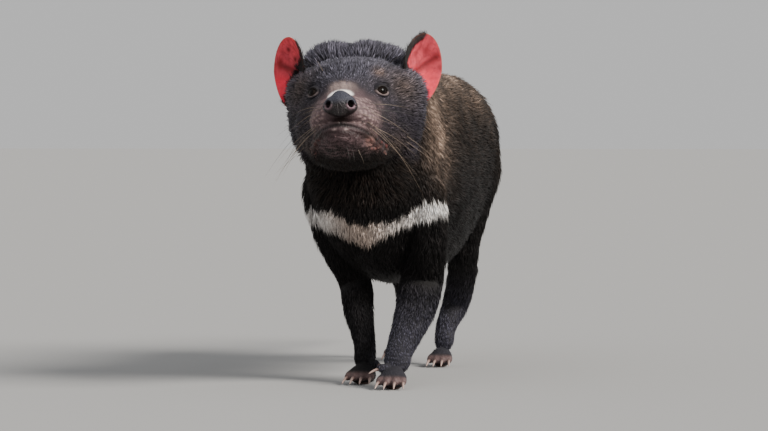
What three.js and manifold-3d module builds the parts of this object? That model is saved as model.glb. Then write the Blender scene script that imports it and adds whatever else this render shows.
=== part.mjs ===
// A Tasmanian devil, life size, standing mid-walk with its head raised.
// Millimetres, +Z up. It faces -Y, its left side is towards +X, and its soles stand on z = 0.
import * as THREE from 'three';
import { mergeVertices } from 'three/addons/utils/BufferGeometryUtils.js';
import Module from 'manifold-3d';

const wasm = await Module();
wasm.setup();

// Driving dimensions
const GAP = 0.3;
const SMOOTHING = 0.08;
const NOSE_TIP = [3.5, -299, 262];
const HEAD_YAW = 5;
const HEAD_PITCH = 12;
const HEAD_ROLL = -1.5;
const SHOULDER_HEIGHT = 304;
const RUMP_HEIGHT = 299;
const CHEST_CLEARANCE = 88;
const EYE_RADIUS = 6.5;
const EYE_CENTRE = [28.6, 57.5, 20];
const EYE_GAZE = [0.62, -0.76, 0.12];
const EAR_CENTRE = [62, 112, 53.5];
const EAR_HALF_WIDTH = 21.5;
const EAR_HALF_HEIGHT = 32.5;
const EAR_CUP = 13;
const EAR_THICKNESS = 3.2;
const EAR_TURN = 42;
const EAR_LEAN = { left: 8, right: -1 };
const MOUTH_CORNER = 72;
const MOUTH_TILT = 10.4;
const MOUTH_DROP = 20.8;
const MOUTH_SLIT = 1.4;
const LIP_DEPTH = 5;
const LIP_RADIUS = 3.2;
const FORE_CUT = 40;
const HIND_CUT = 58;
const FORE_TOES = [-9, -3.1, 3.1, 9];
const HIND_TOES = [-7.8, -2.7, 2.7, 7.8];
const TOE_FAN = 1.2;
const TOE_LENGTH = 16;
const THUMB_ANGLE = 62;
const THUMB_LENGTH = 9;
const HIND_PALM = 0.86;
const CLAW_LENGTH = 10;
const CLAW_RADIUS = 1.7;
const LID_RADIUS = 6.2;
const LID_THICKNESS = 2.1;
const LID_AHEAD = 3.2;
const BACK_MIDDLE = 190;
const RUMP_MIDDLE = 212;

// Finishes
const FUR = new THREE.MeshStandardMaterial({ color: 0x17130f, roughness: 0.75, metalness: 0 });
const EAR_SKIN = new THREE.MeshStandardMaterial({ color: 0x9c4a48, roughness: 0.6, metalness: 0 });
const NOSE_SKIN = new THREE.MeshStandardMaterial({ color: 0x14141a, roughness: 0.3, metalness: 0 });
const EYE = new THREE.MeshStandardMaterial({ color: 0x080606, roughness: 0.05, metalness: 0 });
const CLAW = new THREE.MeshStandardMaterial({ color: 0xb39a86, roughness: 0.45, metalness: 0 });

const UPWARDS = [0, 0, 1];
const FORWARDS = [0, -1, 0];
const vector = (p) => new THREE.Vector3(...p);
const degrees = THREE.MathUtils.degToRad;

// The head's own frame: x to its left, y backwards from the nose tip, z towards the crown.
const HEAD = new THREE.Matrix4()
  .makeTranslation(...NOSE_TIP)
  .multiply(new THREE.Matrix4().makeRotationZ(degrees(HEAD_YAW)))
  .multiply(new THREE.Matrix4().makeRotationX(degrees(-HEAD_PITCH)))
  .multiply(new THREE.Matrix4().makeRotationY(degrees(HEAD_ROLL)));

function solidOf(geometry) {
  geometry.deleteAttribute('normal');
  geometry.deleteAttribute('uv');
  const merged = mergeVertices(geometry, 1e-4);
  return new wasm.Manifold(new wasm.Mesh({
    numProp: 3,
    vertProperties: merged.attributes.position.array,
    triVerts: new Uint32Array(merged.index.array),
  }));
}

const join = (solids) => solids.reduce((whole, solid) => whole.add(solid));

// The largest closed surface, without loose scraps or sealed hollows.
function largest(solid) {
  const pieces = solid.decompose();
  return pieces.reduce((best, piece) => (piece.volume() > best.volume() ? piece : best));
}

// A smooth curve through the points, read at a share of its stations.
const curveThrough = (points) => new THREE.CatmullRomCurve3(points.map(vector), false, 'catmullrom', 0.5);

// How far a rounded end has opened at a share t of the way in.
function opening(t, cap) {
  return t >= cap ? 1 : Math.sqrt(1 - (1 - t / cap) ** 2);
}

function power(value, squareness) {
  return Math.sign(value) * Math.abs(value) ** (2 / squareness);
}

// How far a list of swellings pushes a point out.
// A swelling is its centre, its reach each way and its height.
function swelling(point, swellings) {
  return swellings.reduce((sum, [centre, reach, height]) => {
    const away = point.clone().sub(vector(centre)).divide(vector(reach));
    return sum + height * Math.exp(-away.lengthSq());
  }, 0);
}

// A closed rounded form along a path. A station is x, y, z, half width, size above and size below.
function form(stations, options = {}) {
  const { around = 18, rows = 12, caps = [0.15, 0.15], square = [2, 2], up = UPWARDS } = options;
  const { swellings = [], grow = 0, frame } = options;
  const path = curveThrough(stations.map((s) => s.slice(0, 3)));
  const sizes = curveThrough(stations.map((s) => s.slice(3)));
  const geometry = new THREE.SphereGeometry(1, around, rows);
  const { position } = geometry.attributes;
  for (let row = 0; row <= rows; row += 1) {
    const t = (1 - Math.cos((Math.PI * row) / rows)) / 2;
    const tangent = path.getTangent(t);
    const side = tangent.clone().cross(vector(up)).normalize();
    const above = side.clone().cross(tangent);
    const centre = path.getPoint(t).addScaledVector(tangent, grow * (2 * t - 1));
    const size = sizes.getPoint(t);
    const open = opening(t, caps[0]) * opening(1 - t, caps[1]);
    const reach = (value) => (row === 0 || row === rows ? 0 : value * open + grow);
    for (let column = 0; column <= around; column += 1) {
      const angle = (2 * Math.PI * column) / around;
      const squareness = Math.sin(angle) < 0 ? square[0] : square[1];
      const across = -power(Math.cos(angle), squareness);
      const height = -power(Math.sin(angle), squareness);
      const point = centre.clone()
        .addScaledVector(side, across * reach(size.x))
        .addScaledVector(above, height * reach(height > 0 ? size.y : size.z));
      const outwards = point.clone().sub(path.getPoint(t)).normalize();
      point.addScaledVector(outwards, swelling(point, swellings));
      position.setXYZ(row * (around + 1) + column, point.x, point.y, point.z);
    }
  }
  if (frame) geometry.applyMatrix4(frame);
  return solidOf(geometry);
}

// An ellipsoid by its centre and three radii.
function ball(centre, radii, { around = 12, rows = 8, grow = 0, frame } = {}) {
  const geometry = new THREE.SphereGeometry(1, around, rows);
  geometry.scale(...radii.map((r) => r + grow)).translate(...centre);
  if (frame) geometry.applyMatrix4(frame);
  return solidOf(geometry);
}

// A box by its centre and sizes, turned by a matrix.
function block(centre, size, frame) {
  const geometry = new THREE.BoxGeometry(...size).translate(...centre);
  if (frame) geometry.applyMatrix4(frame);
  return solidOf(geometry);
}

// The half of space on the far side of a plane, as a large block.
function halfSpace(point, normal) {
  const size = 1200;
  const turn = new THREE.Matrix4().makeRotationFromQuaternion(
    new THREE.Quaternion().setFromUnitVectors(vector(UPWARDS), vector(normal).normalize()),
  );
  const frame = new THREE.Matrix4().makeTranslation(...point).multiply(turn);
  return block([0, 0, size / 2], [size, size, size], frame);
}

// Cuts a solid by a plane, leaving the gap, into the part ahead of the normal and the part behind it.
function part(solid, point, normal) {
  const n = vector(normal).normalize();
  const shifted = (distance) => vector(point).addScaledVector(n, distance).toArray();
  return {
    ahead: largest(solid.intersect(halfSpace(shifted(GAP / 2), n.toArray()))),
    behind: largest(solid.intersect(halfSpace(shifted(-GAP / 2), n.clone().negate().toArray()))),
  };
}

// A list of shapes on the left side with their mirror images on the right.
const bothSides = (list) => list.flatMap(([[x, y, z], ...rest]) => [
  [[x, y, z], ...rest],
  [[-x, y, z], ...rest],
]);

// Trunk and neck in one, then the tail. A station is x, y, z, half width, size above and size below.
const SHOULDER = SHOULDER_HEIGHT - BACK_MIDDLE;
const CHEST = BACK_MIDDLE - CHEST_CLEARANCE;
const RUMP = RUMP_HEIGHT - RUMP_MIDDLE;
const TRUNK_STATIONS = [
  [-10, -200, 241, 50, 66, 56],
  [-9, -175, 233, 58, 90, 70],
  [-5, -143, 216, 62, 113, 94],
  [-1, -106, 201, 61, 117, 105],
  [0, -62, 192, 62, SHOULDER, CHEST + 2],
  [0, -18, BACK_MIDDLE, 67, SHOULDER - 6, CHEST],
  [0, 27, 192, 69, 106, CHEST],
  [0, 70, 200, 70, 102, CHEST],
  [0, 112, 210, 74, RUMP + 4, 108],
  [0, 148, RUMP_MIDDLE, 73, RUMP - 4, 90],
  [0, 184, RUMP_MIDDLE, 60, RUMP - 22, 64],
  [0, 210, 210, 42, 47, 47],
  [0, 226, 209, 31, 34, 34],
];
const TRUNK_SWELLINGS = [
  [[-62, -122, 170], [22, 34, 40], 5],
  [[56, -122, 170], [22, 34, 40], 6],
  [[0, -176, 138], [34, 30, 26], 5],
];
// The thick fur of the nape stands up in a roll from ear to ear.
const NAPE_STATIONS = [
  [-70, -146, 277, 28, 24, 26],
  [-50, -148, 290, 34, 28, 28],
  [-28, -144, 292, 38, 29, 30],
  [-6, -142, 294, 40, 31, 30],
  [16, -144, 292, 36, 27, 30],
  [36, -144, 284, 30, 23, 28],
  [47, -144, 272, 25, 20, 26],
];
const TAIL_STATIONS = [
  [0, 180, 214, 34, 36, 38],
  [0, 212, 210, 27, 29, 30],
  [-2, 250, 202, 23, 23, 24],
  [-6, 300, 191, 20, 19, 20],
  [-12, 350, 181, 17, 16, 17],
  [-19, 400, 173, 14, 13, 13],
  [-26, 446, 168, 9, 8, 8],
];
const napeForm = (grow = 0) => form(NAPE_STATIONS, { around: 14, rows: 10, caps: [0.22, 0.22], grow });
const trunkForm = (grow = 0) => form(TRUNK_STATIONS, {
  around: 28, rows: 26, caps: [0.07, 0.09], square: [2.3, 2.15], swellings: TRUNK_SWELLINGS, grow,
}).add(napeForm(grow));
const tailForm = form(TAIL_STATIONS, { around: 12, rows: 12, caps: [0.1, 0.09] });

// Head, in its own frame
const SKULL_STATIONS = [
  [0, 3, -3, 12, 10, 10],
  [0, 16, -6, 21, 17, 13],
  [0, 31, -8, 28, 25, 19],
  [0, 46, -7, 33, 33, 25],
  [0, 62, -3, 42.5, 42, 36],
  [0, 81, 3, 49, 52, 47],
  [0, 101, 14, 59, 50, 61],
  [0, 122, 20, 65.5, 47, 67],
  [0, 142, 15, 61, 46, 61],
  [0, 162, 2, 46, 48, 42],
];
const JAW_STATIONS = [
  [0, 3, -27, 11, 6, 8],
  [0, 20, -30.5, 19.5, 8, 10],
  [0, 42, -33, 26, 10, 12],
  [0, 66, -36, 33, 12, 12],
  [0, 92, -36, 40, 16, 13],
];
// Muzzle pads, lips, brows, cheekbones, cheeks, ear bases, the hollows before the eyes and the bridge's dip.
const SKULL_SWELLINGS = [
  ...bothSides([
    [[25, 27, -12], [11, 14, 9], 4.5],
    [[27, 48, -26], [12, 16, 8], 3],
    [[25, 66, 31], [11, 11, 7], 4],
    [[40, 72, 0], [12, 18, 11], 3],
    [[50, 97, -14], [16, 28, 22], 4],
    [[49, 110, 38], [14, 18, 15], 6],
    [[21, 50, 17], [7, 9, 8], -2.5],
    [[31, 53, 20], [8, 7, 7], -2.6],
  ]),
  [[0, 50, 29], [12, 16, 10], -2],
];
const skullForm = (grow = 0) => form(SKULL_STATIONS, {
  around: 32, rows: 24, caps: [0.12, 0.15], square: [2.1, 2.3], swellings: SKULL_SWELLINGS, grow, frame: HEAD,
});
const jawForm = (grow = 0) => form(JAW_STATIONS, {
  around: 18, rows: 12, caps: [0.14, 0.3], grow, frame: HEAD,
});

// A point of the head mirrored to its left (+1) or right (-1) side.
const onSide = ([x, y, z], side) => [side * x, y, z];

// The upper lip runs from corner to corner round the front of the muzzle, over the jaw's own rim.
function upperLip() {
  const half = [
    [35.5, MOUTH_CORNER, -34],
    [32, 56, -31],
    [28, 40, -28],
    [22.5, 24, -25],
    [13.5, 10, -22.5],
  ];
  const route = [...half, [0, 4.5, -21.4], ...half.slice().reverse().map((p) => onSide(p, -1))];
  const sizes = [LIP_RADIUS, LIP_RADIUS, LIP_RADIUS];
  const stations = route.map(([x, y, z]) => [x * 0.97, y + 1, z + LIP_RADIUS, ...sizes]);
  return form(stations, { around: 6, rows: 14, caps: [0.08, 0.08], frame: HEAD });
}

// The line of the mouth is a thin plate's cut round the muzzle that stops at the lips' depth.
function mouthCut() {
  const tilt = new THREE.Matrix4().makeTranslation(0, 0, -MOUTH_DROP)
    .multiply(new THREE.Matrix4().makeRotationX(degrees(-MOUTH_TILT)));
  const size = [120, MOUTH_CORNER + 20, MOUTH_SLIT];
  const plate = block([0, MOUTH_CORNER / 2 - 10, 0], size, HEAD.clone().multiply(tilt));
  return plate.subtract(skullForm(-LIP_DEPTH));
}

// A frame at an eye whose z axis is its line of sight.
function eyeFrame(side) {
  const gaze = vector(onSide(EYE_GAZE, side)).normalize();
  const turn = new THREE.Quaternion().setFromUnitVectors(vector(UPWARDS), gaze);
  return HEAD.clone()
    .multiply(new THREE.Matrix4().makeTranslation(...onSide(EYE_CENTRE, side)))
    .multiply(new THREE.Matrix4().makeRotationFromQuaternion(turn));
}

function eyelids(side) {
  const ring = new THREE.TorusGeometry(LID_RADIUS, LID_THICKNESS, 6, 14);
  ring.scale(1.08, 0.94, 1.1).translate(0, 0, LID_AHEAD).applyMatrix4(eyeFrame(side));
  return solidOf(ring);
}

const eyeball = (side, grow = 0) => ball([0, 0, 0], [EYE_RADIUS, EYE_RADIUS, EYE_RADIUS], {
  around: 14, rows: 9, grow, frame: eyeFrame(side),
});

// The nose pad: narrow above, wide at the wings, with a short bridge of skin down to the lip.
const NOSE_STATIONS = [
  [0, -3, -1.5, 8, 6, 7],
  [0, 1, -1.8, 12, 9, 10],
  [0, 6, -2, 13.5, 10.5, 11],
  [0, 12, -2.5, 13.5, 10, 10],
  [0, 17, -3, 11, 8, 8],
];
const NOSE_SWELLINGS = [
  ...bothSides([
    [[13, 3, -5.5], [5, 7, 5], 2.8],
    [[10, 4, 8], [6, 8, 5], -2.5],
    [[8, -2, -13], [4, 6, 4], -2],
  ]),
  [[0, -1, -13], [4.5, 6, 4], 2],
];
const nosePad = (grow = 0) => form(NOSE_STATIONS, {
  around: 24, rows: 12, caps: [0.35, 0.3], square: [2.2, 2.1], swellings: NOSE_SWELLINGS, grow, frame: HEAD,
});

function nostril(side) {
  const route = [[13, -5, -3], [10.5, 0, -3], [8, 6, -2.5], [6.5, 10, -2]];
  return form(route.map((p) => [...onSide(p, side), 2.6, 2.9, 2.6]), { around: 8, rows: 6, frame: HEAD });
}

// A cupped ear: a disc pushed back in the middle, as thick as the real one out to its rounded rim.
function ear(side) {
  const around = 22;
  const rows = 12;
  const geometry = new THREE.SphereGeometry(1, around, rows);
  const { position } = geometry.attributes;
  for (let i = 0; i < position.count; i += 1) {
    const front = position.getY(i) < 0;
    const x = position.getX(i);
    const z = position.getZ(i);
    const radius = Math.min(1, Math.hypot(x, z));
    const narrowing = 1 - 0.2 * Math.max(0, -z);
    const cup = EAR_CUP * (1 - radius ** 2);
    const wall = EAR_THICKNESS * Math.sqrt(1 - radius ** 6);
    position.setXYZ(i, x * EAR_HALF_WIDTH * narrowing, cup - (front ? wall : 0), z * EAR_HALF_HEIGHT);
  }
  const outwards = side > 0 ? EAR_LEAN.left : -EAR_LEAN.right;
  const turn = new THREE.Matrix4().makeRotationZ(degrees(side * EAR_TURN))
    .multiply(new THREE.Matrix4().makeRotationY(degrees(outwards)));
  const lean = new THREE.Matrix4().makeRotationX(degrees(HEAD_PITCH));
  const place = new THREE.Matrix4().makeTranslation(...onSide(EAR_CENTRE, side));
  geometry.applyMatrix4(HEAD.clone().multiply(place).multiply(lean).multiply(turn));
  return solidOf(geometry);
}

// Legs. A station is x, y, z, half width, size ahead and size behind, from inside the trunk to the paw.
const LEGS = {
  front_left: {
    stations: [
      [44, -120, 214, 15, 24, 26],
      [49, -130, 176, 20, 28, 32],
      [47, -124, 136, 21, 26, 29],
      [39, -108, 100, 23, 22, 24],
      [38, -127, 73, 21, 18, 18],
      [34.5, -150, 52, 17, 14.5, 14.5],
      [30, -168, 32, 14.3, 12, 12.5],
      [29, -182, 12, 13, 10, 11],
    ],
    cut: FORE_CUT,
    paw: [29, -190],
    heading: 3,
    front: true,
  },
  front_right: {
    stations: [
      [-48, -126, 218, 19, 24, 26],
      [-51, -130, 178, 21, 28, 32],
      [-43, -116, 138, 20, 25, 29],
      [-29, -94, 100, 19, 21, 24],
      [-23.5, -104, 76, 16.5, 17, 17],
      [-17, -116, 54, 13.5, 13.5, 13.5],
      [-12, -124, 34, 11.5, 11.5, 12],
      [-11, -130, 12, 11.5, 10, 11],
    ],
    cut: FORE_CUT,
    paw: [-11, -137],
    heading: -4,
    front: true,
  },
  hind_left: {
    stations: [
      [38, 146, 246, 18, 30, 30],
      [47, 137, 208, 26, 46, 44],
      [43, 119, 164, 23, 41, 42],
      [38, 110, 128, 19, 28, 33],
      [33, 129, 94, 17, 19, 20],
      [23.5, 149, 64, 15, 13, 14],
      [15.5, 137, 38, 12, 10.5, 11],
      [15.5, 120, 13, 10.5, 9.5, 10],
    ],
    cut: HIND_CUT,
    paw: [15.5, 110],
    heading: 2,
    front: false,
  },
  hind_right: {
    stations: [
      [-38, 148, 246, 18, 30, 30],
      [-46, 144, 208, 26, 46, 44],
      [-45, 140, 162, 22, 40, 40],
      [-43, 148, 128, 18, 28, 30],
      [-41, 176, 98, 15, 18, 19],
      [-40, 206, 70, 12, 12.5, 13],
      [-42, 211, 42, 10.5, 10, 10.5],
      [-45, 203, 13, 10, 9.5, 10],
    ],
    cut: HIND_CUT,
    paw: [-46, 194],
    heading: -3,
    front: false,
  },
};

// The frame of a paw: x to its left, y backwards, z up, at the middle of its palm on the floor.
const pawFrame = (leg) => new THREE.Matrix4()
  .makeTranslation(leg.paw[0], leg.paw[1], 0)
  .multiply(new THREE.Matrix4().makeRotationZ(degrees(leg.heading)));

// Each toe's sideways place, fan angle, root, length and the heights along it and its claw.
function toesOf(name, leg) {
  const spread = leg.front ? FORE_TOES : HIND_TOES;
  const toes = spread.map((x) => ({
    x, angle: x * TOE_FAN, root: -5 + Math.abs(x) * 0.25, length: TOE_LENGTH - Math.abs(x) * 0.3,
    heights: [11, 9, 4.4], clawHeights: [6.6, 6.4, 4.4, 1.6],
  }));
  if (leg.front) {
    const inner = name.endsWith('left') ? -1 : 1;
    toes.push({
      x: inner * 7, angle: inner * THUMB_ANGLE, root: 6, length: THUMB_LENGTH,
      heights: [19, 19, 17], clawHeights: [17.6, 17.2, 15.8, 13.6],
    });
  }
  return toes;
}

// Stations along a toe's own line, given as distance ahead, height and radius.
function alongToe(toe, places) {
  const angle = degrees(toe.angle);
  return places.map(([ahead, z, radius]) => [
    toe.x + Math.sin(angle) * ahead, toe.root - Math.cos(angle) * ahead, z, radius, radius, radius,
  ]);
}

function toeForm(toe, frame) {
  const [root, middle, tip] = toe.heights;
  const places = [[-4, root, 4], [toe.length * 0.45, middle, 4.3], [toe.length, tip, 3.9]];
  return form(alongToe(toe, places), { around: 7, rows: 4, caps: [0.3, 0.35], frame });
}

function clawForm(toe, frame, grow = 0) {
  const start = toe.length - 1.5;
  const step = CLAW_LENGTH * 0.32;
  const radii = [1, 0.95, 0.65, 0.3].map((share) => CLAW_RADIUS * share);
  const places = toe.clawHeights.map((z, i) => [start + step * i, z, radii[i]]);
  return form(alongToe(toe, places), { around: 5, rows: 5, caps: [0.15, 0.25], frame, grow });
}

function pawForm(name, leg) {
  const frame = pawFrame(leg);
  const scale = leg.front ? 1 : HIND_PALM;
  const palm = form([
    [0, 13, 12, 10 * scale, 9, 13],
    [0, 6, 10, 12.5 * scale, 11, 11.8],
    [0, -4, 9.5, 13.5 * scale, 9.5, 11.3],
    [0, -13, 8, 12 * scale, 6.5, 9.6],
  ], { around: 12, rows: 6, caps: [0.3, 0.3], frame });
  return join([palm, ...toesOf(name, leg).map((toe) => toeForm(toe, frame))]);
}

// Assembly
const devil = new THREE.Group();

function add(name, solid, material) {
  const { numProp, numVert, vertProperties, triVerts } = solid.simplify(SMOOTHING).getMesh();
  const points = new Float32Array(numVert * 3);
  for (let i = 0; i < numVert; i += 1) {
    points.set(vertProperties.subarray(i * numProp, i * numProp + 3), i * 3);
  }
  const geometry = new THREE.BufferGeometry();
  geometry.setAttribute('position', new THREE.BufferAttribute(points, 3));
  geometry.setIndex(new THREE.BufferAttribute(triVerts, 1));
  geometry.computeVertexNormals();
  const mesh = new THREE.Mesh(geometry, material);
  mesh.name = name;
  devil.add(mesh);
}

const headWhole = join([skullForm(), jawForm(), upperLip(), eyelids(1), eyelids(-1)])
  .subtract(mouthCut())
  .subtract(eyeball(1, GAP))
  .subtract(eyeball(-1, GAP))
  .subtract(nosePad(GAP));
const whole = join([headWhole, trunkForm(), tailForm]);

const behindHead = vector([0, 136, 0]).applyMatrix4(HEAD).toArray();
const headNormal = vector([0, -1, 0]).transformDirection(HEAD).toArray();
const { ahead: head, behind: headless } = part(whole, behindHead, headNormal);
const { ahead: neck, behind: body } = part(headless, [0, -138, 235], [0, -153, 60]);
const { ahead: tail, behind: torso } = part(body, [0, 216, 208], [0, 1, -0.15]);

add('head', head, FUR);
add('neck', neck, FUR);
add('torso', torso, FUR);
add('tail', tail, FUR);
add('nose', largest(nosePad().subtract(nostril(1)).subtract(nostril(-1))), NOSE_SKIN);
const headGrown = join([skullForm(GAP), trunkForm(GAP)]);
for (const [word, side] of [['left', 1], ['right', -1]]) {
  add(`eye_${word}`, eyeball(side), EYE);
  add(`ear_${word}`, largest(ear(side).subtract(headGrown)), EAR_SKIN);
}

const trunkGrown = trunkForm(GAP);
const floor = block([0, 0, -100], [1200, 1200, 200]);
for (const [name, leg] of Object.entries(LEGS)) {
  const frame = pawFrame(leg);
  const limb = form(leg.stations, { around: 16, rows: 15, caps: [0.12, 0.08], up: FORWARDS });
  const claws = toesOf(name, leg).map((toe) => ({
    solid: clawForm(toe, frame),
    grown: clawForm(toe, frame, GAP),
  }));
  const solid = join([limb, pawForm(name, leg)])
    .subtract(trunkGrown)
    .subtract(floor)
    .subtract(join(claws.map(({ grown }) => grown)));
  const { ahead: upper, behind: paw } = part(largest(solid), [0, 0, leg.cut], UPWARDS);
  add(`leg_${name}`, upper, FUR);
  add(`paw_${name}`, paw, FUR);
  claws.forEach((claw, index) => add(`claw_${name}_${index + 1}`, claw.solid, CLAW));
}

// The origin is the middle of the footprint, on the floor.
const middle = new THREE.Box3().setFromObject(devil).getCenter(new THREE.Vector3());
devil.position.set(-middle.x, -middle.y, 0);

export default devil;
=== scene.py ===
"""A life-size Tasmanian devil in mid-walk with its head raised: skin, coat, face, ears, claws, stage."""

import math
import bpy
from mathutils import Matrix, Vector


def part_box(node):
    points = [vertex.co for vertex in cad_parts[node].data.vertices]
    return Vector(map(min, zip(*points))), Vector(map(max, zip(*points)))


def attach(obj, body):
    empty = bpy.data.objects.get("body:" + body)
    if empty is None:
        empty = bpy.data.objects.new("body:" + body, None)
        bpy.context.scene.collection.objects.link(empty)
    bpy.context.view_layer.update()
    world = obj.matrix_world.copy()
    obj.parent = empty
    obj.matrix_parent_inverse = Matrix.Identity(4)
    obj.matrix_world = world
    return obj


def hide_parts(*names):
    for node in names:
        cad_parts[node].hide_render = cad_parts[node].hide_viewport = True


bl_info = {
    "name": "Tasmanian devil",
    "version": (1, 0, 0),
    "blender": (4, 5, 0),
    "location": "View3D > Sidebar > Devil",
    "description": "Builds the skin, coat, face and claws of a Tasmanian devil around its plain solids",
    "category": "Object",
}

import bmesh
import bpy
import numpy as np
from bpy.props import FloatProperty, IntProperty, PointerProperty
from mathutils import Euler, Matrix, Vector

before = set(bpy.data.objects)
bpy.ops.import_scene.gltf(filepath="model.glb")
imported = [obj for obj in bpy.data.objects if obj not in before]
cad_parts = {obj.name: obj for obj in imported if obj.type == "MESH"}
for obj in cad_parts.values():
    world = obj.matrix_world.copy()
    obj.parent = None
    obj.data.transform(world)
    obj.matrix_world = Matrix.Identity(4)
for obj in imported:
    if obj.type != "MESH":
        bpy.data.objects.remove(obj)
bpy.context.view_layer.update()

# Sizes are in millimetres in the body's own frame.
# The solids share it apart from a shift along the floor.
MM = 0.001
LEFT = 1
RIGHT = -1
SIDES = {"left": LEFT, "right": RIGHT}

# The head's frame: x to its left, y backwards from the nose tip, z towards the crown
NOSE_TIP = (3.5, -299, 262)
HEAD_TURN = (-12, -1.5, 5)
EYE_CENTRE = (28.6, 57.5, 20)
EYE_GAZE = (0.62, -0.76, 0.12)
EYE_RADIUS = 6.5
EAR_CENTRE = (62, 112, 53.5)
EAR_HALF_WIDTH = 21.5
EAR_HALF_HEIGHT = 32.5
EAR_CUP = 13
EAR_THICKNESS = 2.2
EAR_TURN = 42
EAR_LEAN = {LEFT: 8, RIGHT: -1}

# Forms. A station is x, y, z, half width, size above, size below and the depth of the coat there.
TRUNK = [
    (-10, -200, 241, 50, 66, 56, 8),
    (-9, -175, 233, 58, 90, 70, 9),
    (-5, -143, 216, 62, 113, 94, 9),
    (-1, -106, 201, 61, 117, 105, 8.5),
    (0, -62, 192, 62, 114, 104, 8),
    (0, -18, 190, 67, 108, 102, 8),
    (0, 27, 192, 69, 106, 102, 8),
    (0, 70, 200, 70, 102, 102, 8),
    (0, 112, 210, 74, 91, 108, 8),
    (0, 148, 212, 73, 83, 90, 8),
    (0, 184, 212, 60, 65, 64, 7.5),
    (0, 210, 210, 42, 47, 47, 7),
    (0, 226, 209, 31, 34, 34, 6),
]
TRUNK_SWELLINGS = [
    ((-62, -122, 170), (22, 34, 40), 5),
    ((56, -122, 170), (22, 34, 40), 6),
    ((0, -176, 138), (34, 30, 26), 5),
]
NAPE = [
    (-70, -146, 277, 28, 24, 26, 8),
    (-50, -148, 290, 34, 28, 28, 8),
    (-28, -144, 292, 38, 29, 30, 8),
    (-6, -142, 294, 40, 31, 30, 8),
    (16, -144, 292, 36, 27, 30, 8),
    (36, -144, 284, 30, 23, 28, 8),
    (47, -144, 272, 25, 20, 26, 8),
]
NAPE_SWELLINGS = [((-18, -150, 322), (9, 30, 14), -4), ((-37, -150, 318), (12, 30, 14), 4)]
TAIL = [
    (0, 180, 214, 34, 36, 38, 6),
    (0, 212, 210, 27, 29, 30, 6),
    (-2, 250, 202, 23, 23, 24, 6),
    (-6, 300, 191, 20, 19, 20, 6),
    (-12, 350, 181, 17, 16, 17, 5.5),
    (-19, 400, 173, 14, 13, 13, 5),
    (-26, 446, 168, 9, 8, 8, 3.5),
]
SKULL = [
    (0, 3, -3, 12, 10, 10, 1),
    (0, 16, -6, 21, 17, 13, 1),
    (0, 31, -8, 28, 25, 19, 1),
    (0, 46, -7, 33, 33, 25, 1.2),
    (0, 62, -3, 42.5, 42, 36, 2.2),
    (0, 81, 3, 49, 52, 47, 2.8),
    (0, 101, 14, 59, 50, 61, 3.8),
    (0, 122, 20, 65.5, 47, 67, 4.6),
    (0, 142, 15, 61, 46, 61, 5.5),
    (0, 162, 2, 46, 48, 42, 6),
]
JAW = [
    (0, 3, -27, 11, 6, 8, 0.8),
    (0, 20, -30.5, 19.5, 8, 10, 0.8),
    (0, 42, -33, 26, 10, 12, 1),
    (0, 66, -36, 33, 12, 12, 1.6),
    (0, 92, -36, 40, 16, 13, 3),
]
MOUTH = [
    (35.5, 72, -34),
    (32, 56, -31),
    (28, 40, -28),
    (22.5, 24, -25),
    (13.5, 10, -22.5),
    (0, 4.5, -21.4),
]
LIP_RADIUS = 2.4
MOUTH_FILL = 4.2
LIP_DEPTH = 0.4
NOSE = [
    (0, -3, -1, 8, 7, 7.5, 0),
    (0, 1, -1.4, 12, 10.8, 10.4, 0),
    (0, 6, -1.6, 13.7, 12.6, 11.4, 0),
    (0, 12, -2, 13.7, 12.4, 10.5, 0),
    (0, 17, -3, 11, 9.5, 8, 0),
]
NOSTRIL = [(12, -4, -3), (10.3, 0, -3), (8, 6, -2.5)]
LEGS = {
    "front_left": {
        "stations": [
            (44, -120, 214, 15, 24, 26, 5.5),
            (49, -130, 176, 20, 28, 32, 5.5),
            (47, -124, 136, 21, 26, 29, 4.5),
            (39, -108, 100, 23, 22, 24, 4),
            (38, -127, 73, 21, 18, 18, 3),
            (34.5, -150, 52, 17, 14.5, 14.5, 2.2),
            (30, -168, 32, 14.3, 12, 12.5, 1.8),
            (29, -182, 12, 13, 10, 11, 1.2),
        ],
        "paw": (29, -190),
        "heading": 3,
    },
    "front_right": {
        "stations": [
            (-48, -126, 218, 19, 24, 26, 5.5),
            (-51, -130, 178, 21, 28, 32, 5.5),
            (-43, -116, 138, 20, 25, 29, 4.5),
            (-29, -94, 100, 19, 21, 24, 4),
            (-23.5, -104, 76, 16.5, 17, 17, 3),
            (-17, -116, 54, 13.5, 13.5, 13.5, 2.2),
            (-12, -124, 34, 11.5, 11.5, 12, 1.8),
            (-11, -130, 12, 11.5, 10, 11, 1.2),
        ],
        "paw": (-11, -137),
        "heading": -4,
    },
    "hind_left": {
        "stations": [
            (38, 146, 246, 18, 30, 30, 5.5),
            (47, 137, 208, 26, 46, 44, 6),
            (43, 119, 164, 23, 41, 42, 5.5),
            (38, 110, 128, 19, 28, 33, 4.5),
            (33, 129, 94, 17, 19, 20, 3.5),
            (23.5, 149, 64, 15, 13, 14, 2.2),
            (15.5, 137, 38, 12, 10.5, 11, 1.8),
            (15.5, 120, 13, 10.5, 9.5, 10, 1.2),
        ],
        "paw": (15.5, 110),
        "heading": 2,
    },
    "hind_right": {
        "stations": [
            (-38, 148, 246, 18, 30, 30, 5.5),
            (-46, 144, 208, 26, 46, 44, 6),
            (-45, 140, 162, 22, 40, 40, 5.5),
            (-43, 148, 128, 18, 28, 30, 4.5),
            (-41, 176, 98, 15, 18, 19, 3.5),
            (-40, 206, 70, 12, 12.5, 13, 2.2),
            (-42, 211, 42, 10.5, 10, 10.5, 1.8),
            (-45, 203, 13, 10, 9.5, 10, 1.2),
        ],
        "paw": (-46, 194),
        "heading": -3,
    },
}
CLAW_LENGTH = 10
CLAW_RADIUS = 1.4
WHISKER_REACH = 94.5
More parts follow.
